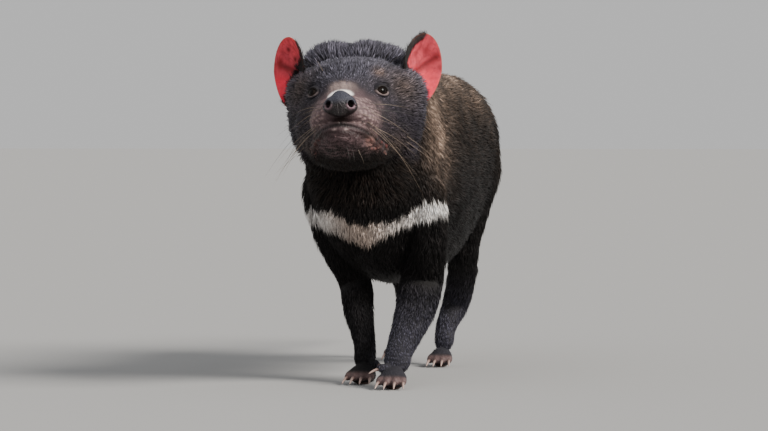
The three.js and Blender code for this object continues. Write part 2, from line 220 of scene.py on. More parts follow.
WHISKER_ROWS = 5
WHISKER_COLUMNS = 4

# The camera looks from a little to the animal's left, low over the floor.
CAMERA_AZIMUTH = 12
CAMERA_DISTANCE = 3201.8
CAMERA_HEIGHT = 230
CAMERA_SIDEWAYS = -19.5
FOCAL_PIXELS = 3300
IMAGE_WIDTH = 768
IMAGE_HEIGHT = 431
HORIZON_ROW = 137
SENSOR = 36

FLOOR_HALF = 60
SUN_TOWARDS = (0.84, -0.3, 0.6)
FILL_TOWARDS = (-0.1, -0.85, 0.6)

# Colours, as linear red, green and blue
BLACK_FUR = np.array((0.0065, 0.0055, 0.0055))
BROWN_TIPS = np.array((0.085, 0.058, 0.042))
TAN_TIPS = np.array((0.33, 0.20, 0.125))
# Painted sunlight on the fur's tips, where the sun grazes the shoulder and the top of the back
SUNLIT_TIPS = np.array((0.72, 0.52, 0.40))
THROAT_FUR = np.array((0.035, 0.021, 0.014))
# Painted sheen: the blue-grey that light gives the lower legs' black fur
SHIN_SHEEN = np.array((0.10, 0.097, 0.135))
FACE_FUR = np.array((0.038, 0.033, 0.046))
# Painted sheen: the pale blue-grey that light gives the black fur on top of the head
FOREHEAD_SHEEN = np.array((0.122, 0.117, 0.150))
MUZZLE_SKIN = np.array((0.098, 0.060, 0.064))
BRISTLE_BED = np.array((0.34, 0.235, 0.225))
CHIN_SKIN = np.array((0.023, 0.010, 0.011))
LIP_FLESH = np.array((0.19, 0.075, 0.062))
# Painted highlight on the lower lip
LIP_HIGHLIGHT = np.array((0.42, 0.32, 0.30))
PHILTRUM = np.array((0.022, 0.013, 0.012))
SORE_RED = np.array((0.13, 0.025, 0.022))
WART_PINK = np.array((0.25, 0.135, 0.115))
WART_BROWN = np.array((0.10, 0.058, 0.052))
BALD_PATCH = np.array((0.93, 0.86, 0.84))
BRIDGE_SKIN = np.array((0.42, 0.31, 0.28))
WHITE_FUR = np.array((0.95, 0.91, 0.88))
# Painted shadow of the head across the middle of the white bar
BAR_SHADOW = np.array((0.60, 0.48, 0.41))
PAD_SKIN = np.array((0.10, 0.055, 0.045))
TOE_SKIN = np.array((0.17, 0.105, 0.10))
LID_PINK = np.array((0.40, 0.29, 0.27))
EAR_PINK = np.array((0.58, 0.075, 0.10))
EAR_PALE = np.array((0.92, 0.035, 0.075))
EAR_DEEP = np.array((0.20, 0.025, 0.03))
EAR_RIM = np.array((0.26, 0.10, 0.075))
PUPIL = np.array((0.003, 0.0025, 0.0025))
IRIS = np.array((0.010, 0.006, 0.004))
EYE_WHITE = np.array((0.016, 0.011, 0.010))
LID_EDGE = np.array((0.008, 0.006, 0.006))
LID_WET = np.array((0.015, 0.01, 0.01))
# The nose's black skin, lightened blue-grey as a painted sheen on its wet top, and its underside darkened
# as painted shade
NOSE_SKIN_AND_SHEEN = np.array((0.030, 0.031, 0.046))
NOSE_UNDER_SHADE = np.array((0.010, 0.006, 0.006))
NOSTRIL_RIM = np.array((0.26, 0.16, 0.19))
NOSTRIL_INSIDE = np.array((0.02, 0.008, 0.008))
CLAW_ROOT = np.array((0.10, 0.055, 0.05))
CLAW_TIP = np.array((0.33, 0.235, 0.205))
WART_COLOURS = (WART_PINK, WART_BROWN, SORE_RED, WART_BROWN, MUZZLE_SKIN)
# Where the dark fur of an ear's front edge ends, by height and by distance from the middle
EAR_BAND = {
    LEFT: [
        (-0.9, -0.4), (-0.78, -0.33), (-0.57, -0.15), (-0.4, 0.2), (-0.1, 0.5), (0.05, 0.72), (0.3, 0.6),
        (0.58, 0.4), (0.85, -0.05),
    ],
    RIGHT: [
        (-0.9, -0.4), (-0.55, -0.4), (-0.25, -0.35), (0.03, -0.25), (0.25, 0.4), (0.5, 0.7), (0.8, 0.4),
    ],
}
# The sore at the corner of the mouth, in the head's frame
SORE_CORNER = (-36, 62, -41)
WART_COUNT = 230
BRISTLE_STEP = 3.4
EAR_CREASE = {LEFT: (0.65, 0.1), RIGHT: (0.35, 0.06)}
# Fleshy lumps beside the mouth in the head's frame: middle, reach and height
LUMPS = [
    ((24, 32, -31), (3.2, 4, 6), 2.0),
    ((27, 31, -37), (3, 4, 4), 1.2),
    ((-36, 64, -42), (5, 6, 6), 1.5),
    ((-31, 58, -37), (3, 4, 4), 1.2),
    ((-38, 68, -49), (4, 5, 4), 1.0),
    ((-30, 48, -34), (3, 4, 4), 1.4),
    ((-27, 40, -30), (2.6, 4, 4), 1.2),
    ((-40, 74, -41), (3, 4, 3.4), 1.4),
    ((31, 46, -38), (3, 4, 3.5), 1.2),
    ((34, 64, -40), (4, 5, 4), 1.0),
]


def unit(v):
    """The vectors at length one."""
    return v / np.maximum(np.linalg.norm(v, axis=-1, keepdims=True), 1e-9)


def smooth_step(a, b, x):
    """A soft step from 0 at a to 1 at b."""
    t = np.clip((x - a) / (b - a), 0, 1)
    return t * t * (3 - 2 * t)


def mix(a, b, w):
    """Blends rows of a towards rows of b by weights."""
    return a + (b - a) * np.asarray(w)[..., None]


def all_over(points, colour):
    """The colour once for each of the points."""
    return np.tile(colour, (len(points), 1))


def span(points, centre, reach):
    """How far points lie from a centre, measured in its reach."""
    return np.linalg.norm((points - centre) / reach, axis=1)


def matrix(location, turn):
    """A 4x4 array from a place and turns in degrees about x, then y, then z."""
    m = Matrix.Translation(location) @ Euler([math.radians(t) for t in turn], "XYZ").to_matrix().to_4x4()
    return np.array(m)


def moved(points, m):
    """Points taken through a 4x4 array."""
    return points @ m[:3, :3].T + m[:3, 3]


def head_matrix():
    """The head's frame: turned about z, then x, then y, as the solids are."""
    turn = [math.radians(t) for t in HEAD_TURN]
    m = Matrix.Translation(NOSE_TIP)
    for index, axis in ((2, "Z"), (0, "X"), (1, "Y")):
        m = m @ Matrix.Rotation(turn[index], 4, axis)
    return np.array(m)


HEAD = head_matrix()
HEAD_BACK = np.linalg.inv(HEAD)


def shift():
    """How far the solids' frame lies from the body's, measured at the left eye."""
    low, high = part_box("eye_left")
    middle = np.array((low + high) / 2) / MM
    eye = moved(np.array([EYE_CENTRE], float), HEAD)[0]
    return np.array([eye[0] - middle[0], eye[1] - middle[1], 0])


SHIFT = shift()


def on_side(point, side):
    """A point of the head mirrored to its left or right side."""
    return (point[0] * side, *point[1:])


def both_sides(swellings):
    """Swellings on the left with their mirror images on the right."""
    return [(on_side(c, s), r, h) for c, r, h in swellings for s in (LEFT, RIGHT)]


SKULL_SWELLINGS = both_sides([
    ((25, 27, -12), (11, 14, 9), 4.5),
    ((27, 48, -26), (12, 16, 8), 3),
    ((25, 66, 31), (11, 11, 7), 4),
    ((40, 72, 0), (12, 18, 11), 3),
    ((50, 97, -14), (16, 28, 22), 4),
    ((49, 110, 38), (14, 18, 15), 6),
    ((21, 50, 17), (7, 9, 8), -2.5),
    ((31, 53, 20), (8, 7, 7), -2.6),
]) + [((0, 50, 29), (12, 16, 10), -2)]
NOSE_SWELLINGS = both_sides([
    ((13, 3, -5.5), (5, 7, 5), 2.8),
    ((10, 4, 8), (6, 8, 5), -2.5),
    ((8, -2, -13), (4, 6, 4), -2),
]) + [((0, -1, -13), (4.5, 6, 4), 2)]


def curve(points, t):
    """A smooth curve through the points, read at shares t of its stations."""
    p = np.asarray(points, float)
    place = np.clip(np.asarray(t, float), 0, 1) * (len(p) - 1)
    i = np.minimum(np.floor(place).astype(int), len(p) - 2)
    w = (place - i)[:, None]
    longer = np.vstack([2 * p[0] - p[1], p, 2 * p[-1] - p[-2]])
    p0, p1, p2, p3 = longer[i], longer[i + 1], longer[i + 2], longer[i + 3]
    t0, t1 = 0.5 * (p2 - p0), 0.5 * (p3 - p1)
    return p1 + t0 * w + (-3 * p1 + 3 * p2 - 2 * t0 - t1) * w**2 + (2 * p1 - 2 * p2 + t0 + t1) * w**3


def along(points, t):
    """The curve's direction at shares t."""
    step = 1e-4
    return unit(curve(points, np.minimum(t + step, 1)) - curve(points, np.maximum(t - step, 0)))


def swelling(points, swellings):
    """How far the swellings push each point out."""
    total = np.zeros(points.shape[:-1])
    for centre, reach, height in swellings:
        total += height * np.exp(-(((points - np.array(centre)) / np.array(reach)) ** 2).sum(-1))
    return total


def tube_faces(around, rows):
    """Triangles of a closed tube of rings with a single point at each end."""
    faces = []
    last = 1 + (rows - 1) * around
    for k in range(around):
        nxt = (k + 1) % around
        faces.append((0, 1 + nxt, 1 + k))
        faces.append((last, last - around + k, last - around + nxt))
        for r in range(rows - 2):
            a = 1 + r * around
            b = a + around
            faces.append((a + k, a + nxt, b + nxt))
            faces.append((a + k, b + nxt, b + k))
    return np.array(faces)


def form(
    stations, around=64, rows=60, caps=(0.15, 0.15), square=(2, 2), up=(0, 0, 1), swellings=(), head=False
):
    """A closed rounded form along a path, inside its outline by the coat's depth at each station."""
    st = np.asarray(stations, float)
    t = (1 - np.cos(np.pi * np.arange(rows + 1) / rows)) / 2
    centre = curve(st[:, :3], t)
    tangent = along(st[:, :3], t)
    side = unit(np.cross(tangent, np.asarray(up, float)))
    above = np.cross(side, tangent)
    size = curve(st[:, 3:6], t)
    depth = curve(st[:, 6:7], t)[:, 0]
    open_at = np.ones_like(t)
    for share, cap in ((t, caps[0]), (1 - t, caps[1])):
        open_at *= np.sqrt(np.clip(1 - np.clip(1 - share / cap, 0, 1) ** 2, 0, 1))
    angle = 2 * np.pi * np.arange(around) / around
    squareness = np.where(np.sin(angle) < -1e-12, square[0], square[1])
    across = -np.sign(np.cos(angle)) * np.abs(np.cos(angle)) ** (2 / squareness)
    height = -np.sign(np.sin(angle)) * np.abs(np.sin(angle)) ** (2 / squareness)
    middle = centre - tangent * (depth * (2 * t - 1))[:, None]
    reach = np.maximum(size * open_at[:, None] - depth[:, None], 0.02)
    reach[0] = 0
    reach[-1] = 0
    tall = np.where(height[None, :] > 0, reach[:, 1:2], reach[:, 2:3]) * height[None, :]
    points = middle[:, None, :] + side[:, None, :] * (across[None, :] * reach[:, 0:1])[..., None]
    points = points + above[:, None, :] * tall[..., None]
    outwards = unit(points - centre[:, None, :])
    points = points + outwards * swelling(points, swellings)[..., None]
    points = np.vstack([points[0, :1], points[1:-1].reshape(-1, 3), points[-1, :1]])
    if head:
        points = moved(points, HEAD)
    return points, tube_faces(around, rows)


def joined(parts):
    """Several lists of points and faces as one."""
    points, faces, start = [], [], 0
    for p, f in parts:
        points.append(p)
        faces.append(f + start)
        start += len(p)
    return np.vstack(points), np.vstack(faces)


def paint(mesh, name, values):
    """Stores a colour at each point of a mesh."""
    attribute = mesh.attributes.new(name, "FLOAT_COLOR", "POINT")
    rgba = np.ones((len(mesh.vertices), 4), np.float32)
    rgba[:, : values.shape[1]] = values
    attribute.data.foreach_set("color", rgba.ravel())


def mesh_of(name, points, faces, smooth=True):
    """A mesh in metres in the solids' frame from points in millimetres and faces of one size."""
    mesh = bpy.data.meshes.new(name)
    faces = np.asarray(faces, np.int32)
    count, size = faces.shape
    mesh.vertices.add(len(points))
    mesh.vertices.foreach_set("co", ((points - SHIFT) * MM).astype(np.float32).ravel())
    mesh.loops.add(count * size)
    mesh.loops.foreach_set("vertex_index", faces.ravel())
    mesh.polygons.add(count)
    mesh.polygons.foreach_set("loop_start", np.arange(0, count * size, size, dtype=np.int32))
    mesh.update(calc_edges=True)
    mesh.polygons.foreach_set("use_smooth", np.full(count, smooth))
    return mesh


def piece(name, mesh, material, nodes=()):
    """A finished piece that rides on the body, with its material and the solids it stands for."""
    obj = bpy.data.objects.new(name, mesh)
    bpy.context.scene.collection.objects.link(obj)
    mesh.materials.append(material)
    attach(obj, "root")
    if nodes:
        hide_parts(*nodes)
    return obj


def points_of(mesh):
    """A mesh's points in millimetres in the body's frame."""
    co = np.zeros(len(mesh.vertices) * 3, np.float32)
    mesh.vertices.foreach_get("co", co)
    return co.reshape(-1, 3).astype(float) / MM + SHIFT


def put_points(mesh, points):
    """Moves a mesh's points."""
    mesh.vertices.foreach_set("co", ((points - SHIFT) * MM).astype(np.float32).ravel())
    mesh.update()


def edges_of(mesh):
    """Pairs of a mesh's joined points."""
    pairs = np.zeros(len(mesh.edges) * 2, np.int32)
    mesh.edges.foreach_get("vertices", pairs)
    return pairs.reshape(-1, 2)


def triangles_of(mesh):
    """A mesh's triangles as rows of three points."""
    mesh.calc_loop_triangles()
    tris = np.zeros(len(mesh.loop_triangles) * 3, np.int32)
    mesh.loop_triangles.foreach_get("vertices", tris)
    return tris.reshape(-1, 3)


def normals_of(points, tris):
    """Outward directions at the points of a triangle mesh."""
    n = np.cross(points[tris[:, 1]] - points[tris[:, 0]], points[tris[:, 2]] - points[tris[:, 0]])
    total = np.zeros_like(points)
    for axis in range(3):
        for corner in range(3):
            total[:, axis] += np.bincount(tris[:, corner], n[:, axis], len(points))
    return unit(total)


def relaxed(points, pairs, strength, rounds):
    """Points drawn towards the mean of their neighbours, by a strength for each point."""
    count = np.bincount(pairs.ravel(), minlength=len(points)).astype(float)
    count = np.maximum(count, 1)
    for _ in range(rounds):
        total = np.zeros_like(points)
        for axis in range(3):
            total[:, axis] += np.bincount(pairs[:, 0], points[pairs[:, 1], axis], len(points))
            total[:, axis] += np.bincount(pairs[:, 1], points[pairs[:, 0], axis], len(points))
        points = points + (total / count[:, None] - points) * strength[:, None]
    return points


def applied(obj):
    """The object's mesh with its modifiers worked in. The object is removed."""
    graph = bpy.context.evaluated_depsgraph_get()
    mesh = bpy.data.meshes.new_from_object(obj.evaluated_get(graph))
    bpy.data.objects.remove(obj)
    return mesh


def waves(points, size, seed, count=5):
    """A soft random value from -1 to 1 that changes over the given size."""
    draw = np.random.default_rng(seed)
    total = np.zeros(len(points))
    for _ in range(count):
        direction = unit(draw.normal(size=3))
        pitch = 2 * np.pi / (size * draw.uniform(0.7, 1.5))
        total += np.sin(points @ direction * pitch + draw.uniform(0, 6.28))
    return total / count * 1.6


# Paws, toes and claws


def paw_matrix(leg):
    """The frame of a paw: x to its left, y backwards, z up, at the middle of its palm on the floor."""
    return matrix((*leg["paw"], 0), (0, 0, leg["heading"]))


def toes_of(name):
    """Each toe's sideways place, fan angle, root, length and the heights along it and its claw."""
    front = name.startswith("front")
    spread = (-9, -3.1, 3.1, 9) if front else (-7.8, -2.7, 2.7, 7.8)
    toes = []
    for x in spread:
        toes.append({
            "x": x, "angle": x * 1.2, "root": -5 + abs(x) * 0.25, "length": 16 - abs(x) * 0.3,
            "heights": (11, 9, 4.4), "claw": (6.6, 6.4, 4.4, 1.6),
        })
    if front:
        inner = -1 if name.endswith("left") else 1
        toes.append({
            "x": inner * 7, "angle": inner * 62, "root": 6, "length": 9,
            "heights": (19, 19, 17), "claw": (17.6, 17.2, 15.8, 13.6),
        })
    return toes


def along_toe(toe, places):
    """Stations along a toe's own line, given as distance ahead, height, radius and depth of coat."""
    angle = math.radians(toe["angle"])
    return [
        (toe["x"] + math.sin(angle) * d, toe["root"] - math.cos(angle) * d, z, r, r, r, depth)
        for d, z, r, depth in places
    ]


def toe_form(toe, place):
    """One toe of the skin, with its knuckle and its pad."""
    root, middle, tip = toe["heights"]
    places = [(-4, root, 4, 0.4), (toe["length"] * 0.45, middle, 4.4, 0.4), (toe["length"], tip, 4.2, 0.4)]
    points, faces = form(along_toe(toe, places), around=24, rows=18, caps=(0.3, 0.35))
    return moved(points, place), faces


def claw_form(toe, place):
    """One curved, tapered claw."""
    start = toe["length"] - 3
    thickness = (1.05, 1, 0.72, 0.28)
    steps = (CLAW_LENGTH + 1.5) / 3
    places = [(start + steps * i, z, CLAW_RADIUS * thickness[i], 0) for i, z in enumerate(toe["claw"])]
    points, faces = form(along_toe(toe, places), around=14, rows=16, caps=(0.1, 0.12))
    return moved(points, place), faces


def paw_forms(name, leg):
    """The palm and toes of a paw."""
    place = paw_matrix(leg)
    s = 1 if name.startswith("front") else 0.86
    palm = [
        (0, 13, 12, 10 * s, 9, 13, 1.2),
        (0, 6, 10, 12.5 * s, 11, 11.8, 1.2),
        (0, -4, 9.5, 13.5 * s, 9.5, 11.3, 1),
        (0, -13, 8, 12 * s, 6.5, 9.6, 0.8),
    ]
    points, faces = form(palm, around=32, rows=24, caps=(0.3, 0.3))
    return [(moved(points, place), faces)] + [toe_form(toe, place) for toe in toes_of(name)]


# Skin


def mouth_route():
    """The mouth's points from one corner to the other, in the head's frame."""
    half = [np.array(p, float) for p in MOUTH]
    return half + [p * (-1, 1, 1) for p in reversed(half[:-1])]


def lip_route(radius, inwards, rise):
    """Stations of a tube that follows the mouth from corner to corner."""
    shrink = 1 - inwards / 36
    size = (radius, radius, radius, LIP_DEPTH)
    return [(p[0] * shrink, p[1] + inwards, p[2] + rise, *size) for p in mouth_route()]


def skin_forms():
    """Every form of the skin, still apart."""
    parts = [
        form(TRUNK, around=96, rows=110, caps=(0.07, 0.09), square=(2.3, 2.15), swellings=TRUNK_SWELLINGS),
        form(NAPE, around=48, rows=40, caps=(0.22, 0.22), swellings=NAPE_SWELLINGS),
        form(TAIL, around=40, rows=60, caps=(0.1, 0.09)),
        form(
            SKULL, around=128, rows=110, caps=(0.12, 0.15), square=(2.1, 2.3), swellings=SKULL_SWELLINGS,
            head=True,
        ),
        form(JAW, around=72, rows=60, caps=(0.14, 0.3), head=True),
        form(lip_route(LIP_RADIUS, 1, LIP_RADIUS), around=20, rows=80, caps=(0.08, 0.08), head=True),
        form(lip_route(MOUTH_FILL, 2.6, 0), around=20, rows=80, caps=(0.08, 0.08), head=True),
    ]
    for name, leg in LEGS.items():
        parts.append(form(leg["stations"], around=48, rows=60, caps=(0.12, 0.08), up=(0, -1, 0)))
        parts += paw_forms(name, leg)
    return parts


def fused(parts, voxel):
    """One closed surface round all the forms."""
    points, faces = joined(parts)
    obj = bpy.data.objects.new("forms", mesh_of("forms", points, faces))
    bpy.context.scene.collection.objects.link(obj)
    remesh = obj.modifiers.new("Fuse", "REMESH")
    remesh.mode = "VOXEL"
    remesh.voxel_size = voxel * MM
    return applied(obj)


def thinned(mesh, weights, ratio):
    """The mesh with fewer faces where the weights are high."""
    obj = bpy.data.objects.new("thinned", mesh)
    bpy.context.scene.collection.objects.link(obj)
    group = obj.vertex_groups.new(name="coarse")
    for step in range(1, 11):
        chosen = np.nonzero(np.round(weights * 10) == step)[0]
        group.add(chosen.tolist(), step / 10, "REPLACE")
    thin = obj.modifiers.new("Thin", "DECIMATE")
    thin.ratio = ratio
    thin.vertex_group = "coarse"
    thin.vertex_group_factor = 10
    return applied(obj)


def eye_matrix(side):
    """A frame at an eye whose z axis is its line of sight and whose y axis is up."""
    gaze = Vector(on_side(EYE_GAZE, side)).normalized()
    upwards = (Vector((0, 0, 1)) - gaze * gaze.z).normalized()
    across = upwards.cross(gaze)
    m = Matrix((across, upwards, gaze)).transposed().to_4x4()
    m.translation = on_side(EYE_CENTRE, side)
    return HEAD @ np.array(m)


def mouth_line():
    """Close points along the line of the mouth, in the head's frame."""
    return curve(mouth_route(), np.linspace(0, 1, 160))


def nearest(points, line):
    """Distance from each point to the nearest of a line's points, and which it is."""
    best = np.full(len(points), 1e9)
    which = np.zeros(len(points), int)
    for i, q in enumerate(line):
        d = ((points - q) ** 2).sum(1)
        closer = d < best
        best[closer] = d[closer]
        which[closer] = i
    return np.sqrt(best), which


def warts(seed):
    """Fleshy bumps round the mouth: their middles in the head's frame, sizes and colours."""
    draw = np.random.default_rng(seed)
    line = mouth_line()
    found = []
    for _ in range(WART_COUNT):
        share = draw.uniform(0.25, 1.0) ** 0.65
        side = draw.choice((-1, 1))
        at = line[int((0.5 + side * 0.5 * share) * (len(line) - 1))]
        sideways = side * draw.uniform(-2, 5)
        back = draw.uniform(-3, 10)
        up = draw.uniform(-12, 7) * (0.4 + 0.6 * share)
        at = at + (sideways, back, up)
        size = draw.uniform(1.4, 3.2) * (0.6 + 0.4 * share)
        found.append((at, size, WART_COLOURS[int(draw.integers(5))]))
    return found


def bristle_beds(local, seed):
    """1 at the small bumps that carry the muzzle's short bristles, 0 between them."""
    draw = np.random.default_rng(seed + 8)
    bump = np.zeros(len(local))
    for y in np.arange(13, 50, BRISTLE_STEP):
        for z in np.arange(-20, 9, BRISTLE_STEP):
            for side in (LEFT, RIGHT):
                at = np.array((y, z)) + draw.uniform(-1.1, 1.1, 2)
                away = ((local[:, 1:] - at) ** 2).sum(1) / 1.15**2
                bump = np.maximum(bump, np.exp(-away) * (local[:, 0] * side > 8))
    return bump


def shape_face(points, normals, seed):
    """Mouth, lips, chin, warts, eye hollows and folds on the skin of the head."""
    local = moved(points, HEAD_BACK)
    near_face = (local[:, 1] < 95) & (local[:, 1] > -10) & (np.abs(local[:, [0, 2]]) < 70).all(1)
    face = np.nonzero(near_face)[0]
    p = local[face]
    push = np.zeros(len(face))
    line = mouth_line()
    away, _ = nearest(p, line)
    push -= 2.2 * np.exp(-((away / (1.5 + 0.4 * waves(p, 9, seed + 6))) ** 2))
    lower, _ = nearest(p, line - (0, -0.5, 3.4))
    push += 0.6 * np.exp(-((lower / 1.8) ** 2)) * (0.6 + 0.4 * waves(p, 7, seed + 9))
    cleft = 0.9 * np.exp(-((p[:, 0] / 0.9) ** 2)) * smooth_step(-22.5, -18, p[:, 2])
    push -= cleft * smooth_step(9, 3, p[:, 1])
    chin = smooth_step(-25, -29, p[:, 2]) * smooth_step(62, 44, p[:, 1]) * smooth_step(2, 5, away)
    push -= 0.9 * chin * np.exp(-((waves(p, 11, seed + 1) / 0.22) ** 2))
    push += 0.4 * chin * waves(p, 5, seed + 2)
    lump = np.zeros(len(face))
    for at, size, _ in warts(seed):
        lump = np.maximum(lump, 0.55 * size * np.exp(-((((p - at) ** 2).sum(1) / size**2) ** 2)))
    push += lump
    push += 0.55 * bristle_beds(p, seed)
    push += swelling(p, LUMPS) * (0.75 + 0.25 * waves(p, 4, seed + 3))
    for side in (LEFT, RIGHT):
        eye = np.array(on_side(EYE_CENTRE, side), float)
        d = np.linalg.norm(p - eye, axis=1)
        push -= 2.2 * np.exp(-((d / 7.5) ** 4))
        fold = np.linalg.norm((p - eye - (0, 0, 11)) / (12, 14, 2.2), axis=1)
        push += 1.0 * np.exp(-(fold**2))
        bag = np.linalg.norm((p - eye - (0, 0, -11)) / (11, 14, 1.8), axis=1)
        push -= 0.7 * np.exp(-(bag**2))
    result = points.copy()
    result[face] += normals[face] * push[:, None]
    return result


def refined(mesh, inside):
    """The mesh with the faces whose points are inside cut finer once."""
    bm = bmesh.new()
    bm.from_mesh(mesh)
    bm.verts.ensure_lookup_table()
    chosen = set(np.nonzero(inside)[0].tolist())
    edges = [e for e in bm.edges if e.verts[0].index in chosen and e.verts[1].index in chosen]
    bmesh.ops.subdivide_edges(bm, edges=edges, cuts=1, use_grid_fill=True, smooth=0)
    bmesh.ops.triangulate(bm, faces=[f for f in bm.faces if len(f.verts) > 4])
    bm.to_mesh(mesh)
    bm.free()
    mesh.update()
    return mesh


# The lie of the coat

# Length, width, lift in degrees and density of the tufts along a form
LEG_COAT = ((15, 13, 10.5, 6.5), (1.1, 1, 0.9, 0.7), (23, 21, 18, 15), (1, 1.1, 1.3, 1.5))
PAW_COAT = ((4.5, 4, 3, 2.4), (0.55, 0.55, 0.5, 0.4), (12, 12, 10, 10), (1.9, 2, 2.1, 1.4))
# Stations from heel to toes in a paw's own frame
PAW_LINE = [(0, 14, 12, 12, 12, 12), (0, 4, 10, 12, 12, 12), (0, -8, 8, 11, 11, 11), (0, -19, 5, 8, 8, 8)]


def guides():
    """The middle line of each form, its girth, and the lie and the measures of the coat along it."""
    found = []

    def add(name, stations, length, width, lift, density, flow=None):
        st = np.asarray(stations, float)
        t = np.linspace(0, 1, 28)
        lie = along(st[:, :3], t) if flow is None else np.tile(unit(np.array(flow, float)), (len(t), 1))
        found.append({
            "name": name,
            "centre": curve(st[:, :3], t),
            "girth": curve(st[:, 3:6], t).mean(1),
            "flow": lie,
            "measures": curve(np.array([length, width, lift, density], float).T, t),
        })

    add("trunk", TRUNK, (15, 17, 18, 18), (1.1, 1.15, 1.15, 1.15), (30, 27, 25, 25), (1.1, 1, 1, 1))
    add("nape", NAPE, (12, 13, 12), (0.65, 0.65, 0.65), (38, 40, 38), (1.9, 1.9, 1.9), flow=(0, 0.8, 0.6))
    add("tail", TAIL, (18, 18, 17, 15), (1.1, 1.1, 1, 0.9), (20, 20, 20, 20), (1.1, 1.1, 1.2, 1.3))
    for name, leg in LEGS.items():
        add(name, leg["stations"], *LEG_COAT)
        stations = np.array(PAW_LINE, float)
        stations[:, :3] = moved(stations[:, :3], paw_matrix(leg))
        add(name, stations, *PAW_COAT)
    return found


def coat_field(points, normals):
    """For each root: the region, the way the coat lies, and its length, width, lift and density."""
    found = guides()
    local = moved(points, HEAD_BACK)
    flow = np.zeros_like(points)
    measures = np.zeros((len(points), 4))
    total = np.zeros(len(points))
    best = np.zeros(len(points))
    region = np.zeros(len(points), int)
    for index, guide in enumerate(found):
        away, which = nearest(points, guide["centre"])
        weight = (guide["girth"][which] / np.maximum(away, 1)) ** 7
        if guide["name"] == "nape":
            weight *= smooth_step(262, 285, points[:, 2])
        flow += guide["flow"][which] * weight[:, None]
        measures += guide["measures"][which] * weight[:, None]
        total += weight
        closer = weight > best
        best[closer] = weight[closer]
        region[closer] = index
    flow = flow / total[:, None]
    measures = measures / total[:, None]
    flow[:, 2] -= 0.35 * smooth_step(0.1, 0.8, np.abs(normals[:, 0]))
    chest = smooth_step(-120, -170, points[:, 1]) * smooth_step(250, 215, points[:, 2])
    measures[:, 0] *= 1 - 0.3 * chest
    flow = mix(unit(flow), np.array([0.0, -0.1, -1.0]), chest * 0.9)
    in_head = smooth_step(150, 122, local[:, 1]) * smooth_step(-75, -55, local[:, 2])
    radial = unit(local - (0, -25, -14))
    head_flow = radial @ HEAD[:3, :3].T
    flow = mix(flow, head_flow, in_head)
    back = smooth_step(30, 108, local[:, 1])
    jaw = smooth_step(-24, -42, local[:, 2]) * (0.4 + 0.6 * smooth_step(34, 75, local[:, 1]))
    brow = smooth_step(14, 34, local[:, 2]) * smooth_step(36, 60, local[:, 1])
    head_measures = np.stack([
        2.8 + 7.0 * back + 4.5 * jaw + 2.4 * brow,
        0.5 + 0.35 * back + 0.05 * jaw + 0.08 * brow,
        26 + 9 * back + 4 * jaw + 5 * brow,
        2.5 - 1.3 * back - 0.3 * jaw,
    ], 1)
    measures = mix(measures, head_measures, in_head)
    region[in_head > 0.5] = len(found)
    flow = unit(flow - normals * (flow * normals).sum(1, keepdims=True))
    return region, flow, measures, in_head, local


# Markings, with painted light and shade

# The white bar's middle line across the chest: sideways place, height and half its thickness
BAR_ROUTE = [
    (-68, 152, 3), (-57, 154, 6.5), (-45, 152, 8), (-27, 150, 9.5), (-12, 142, 8.3), (1, 137.6, 9.4),
    (9, 141, 8), (22, 146, 4.5), (31, 149.5, 4), (41, 155, 7.2), (52, 158, 8.6),
    (62, 160, 7.5), (70, 162, 2),
]
BAR_FRONT = -100


def white_bar(points):
    """1 inside the white bar that crosses the chest, 0 outside it."""
    route = np.array(BAR_ROUTE, float)
    middle = np.interp(points[:, 0], route[:, 0], route[:, 1])
    half = np.interp(points[:, 0], route[:, 0], route[:, 2])
    ragged = waves(points, 8, 11) * 1.6
    inside = smooth_step(1.5, -1.5, np.abs(points[:, 2] - middle) - half + ragged)
    ends = smooth_step(-73, -67, points[:, 0]) * smooth_step(74, 67, points[:, 0])
    return inside * ends * (points[:, 1] < BAR_FRONT)


def toe_share(points):
    """1 on the toes of a paw, 0 elsewhere."""
    share = np.zeros(len(points))
    for leg in LEGS.values():
        own = moved(points, np.linalg.inv(paw_matrix(leg)))
        ahead = smooth_step(-6, -12, own[:, 1]) * smooth_step(-34, -30, own[:, 1])
        here = ahead * smooth_step(15, 10, own[:, 2]) * smooth_step(22, 18, np.abs(own[:, 0]))
        share = np.maximum(share, here)
    return share


def near(points, centre, reach):
    """1 at a centre, fading out over its reach."""
    return np.exp(-(((points - np.array(centre, float)) / np.array(reach, float)) ** 2).sum(1))


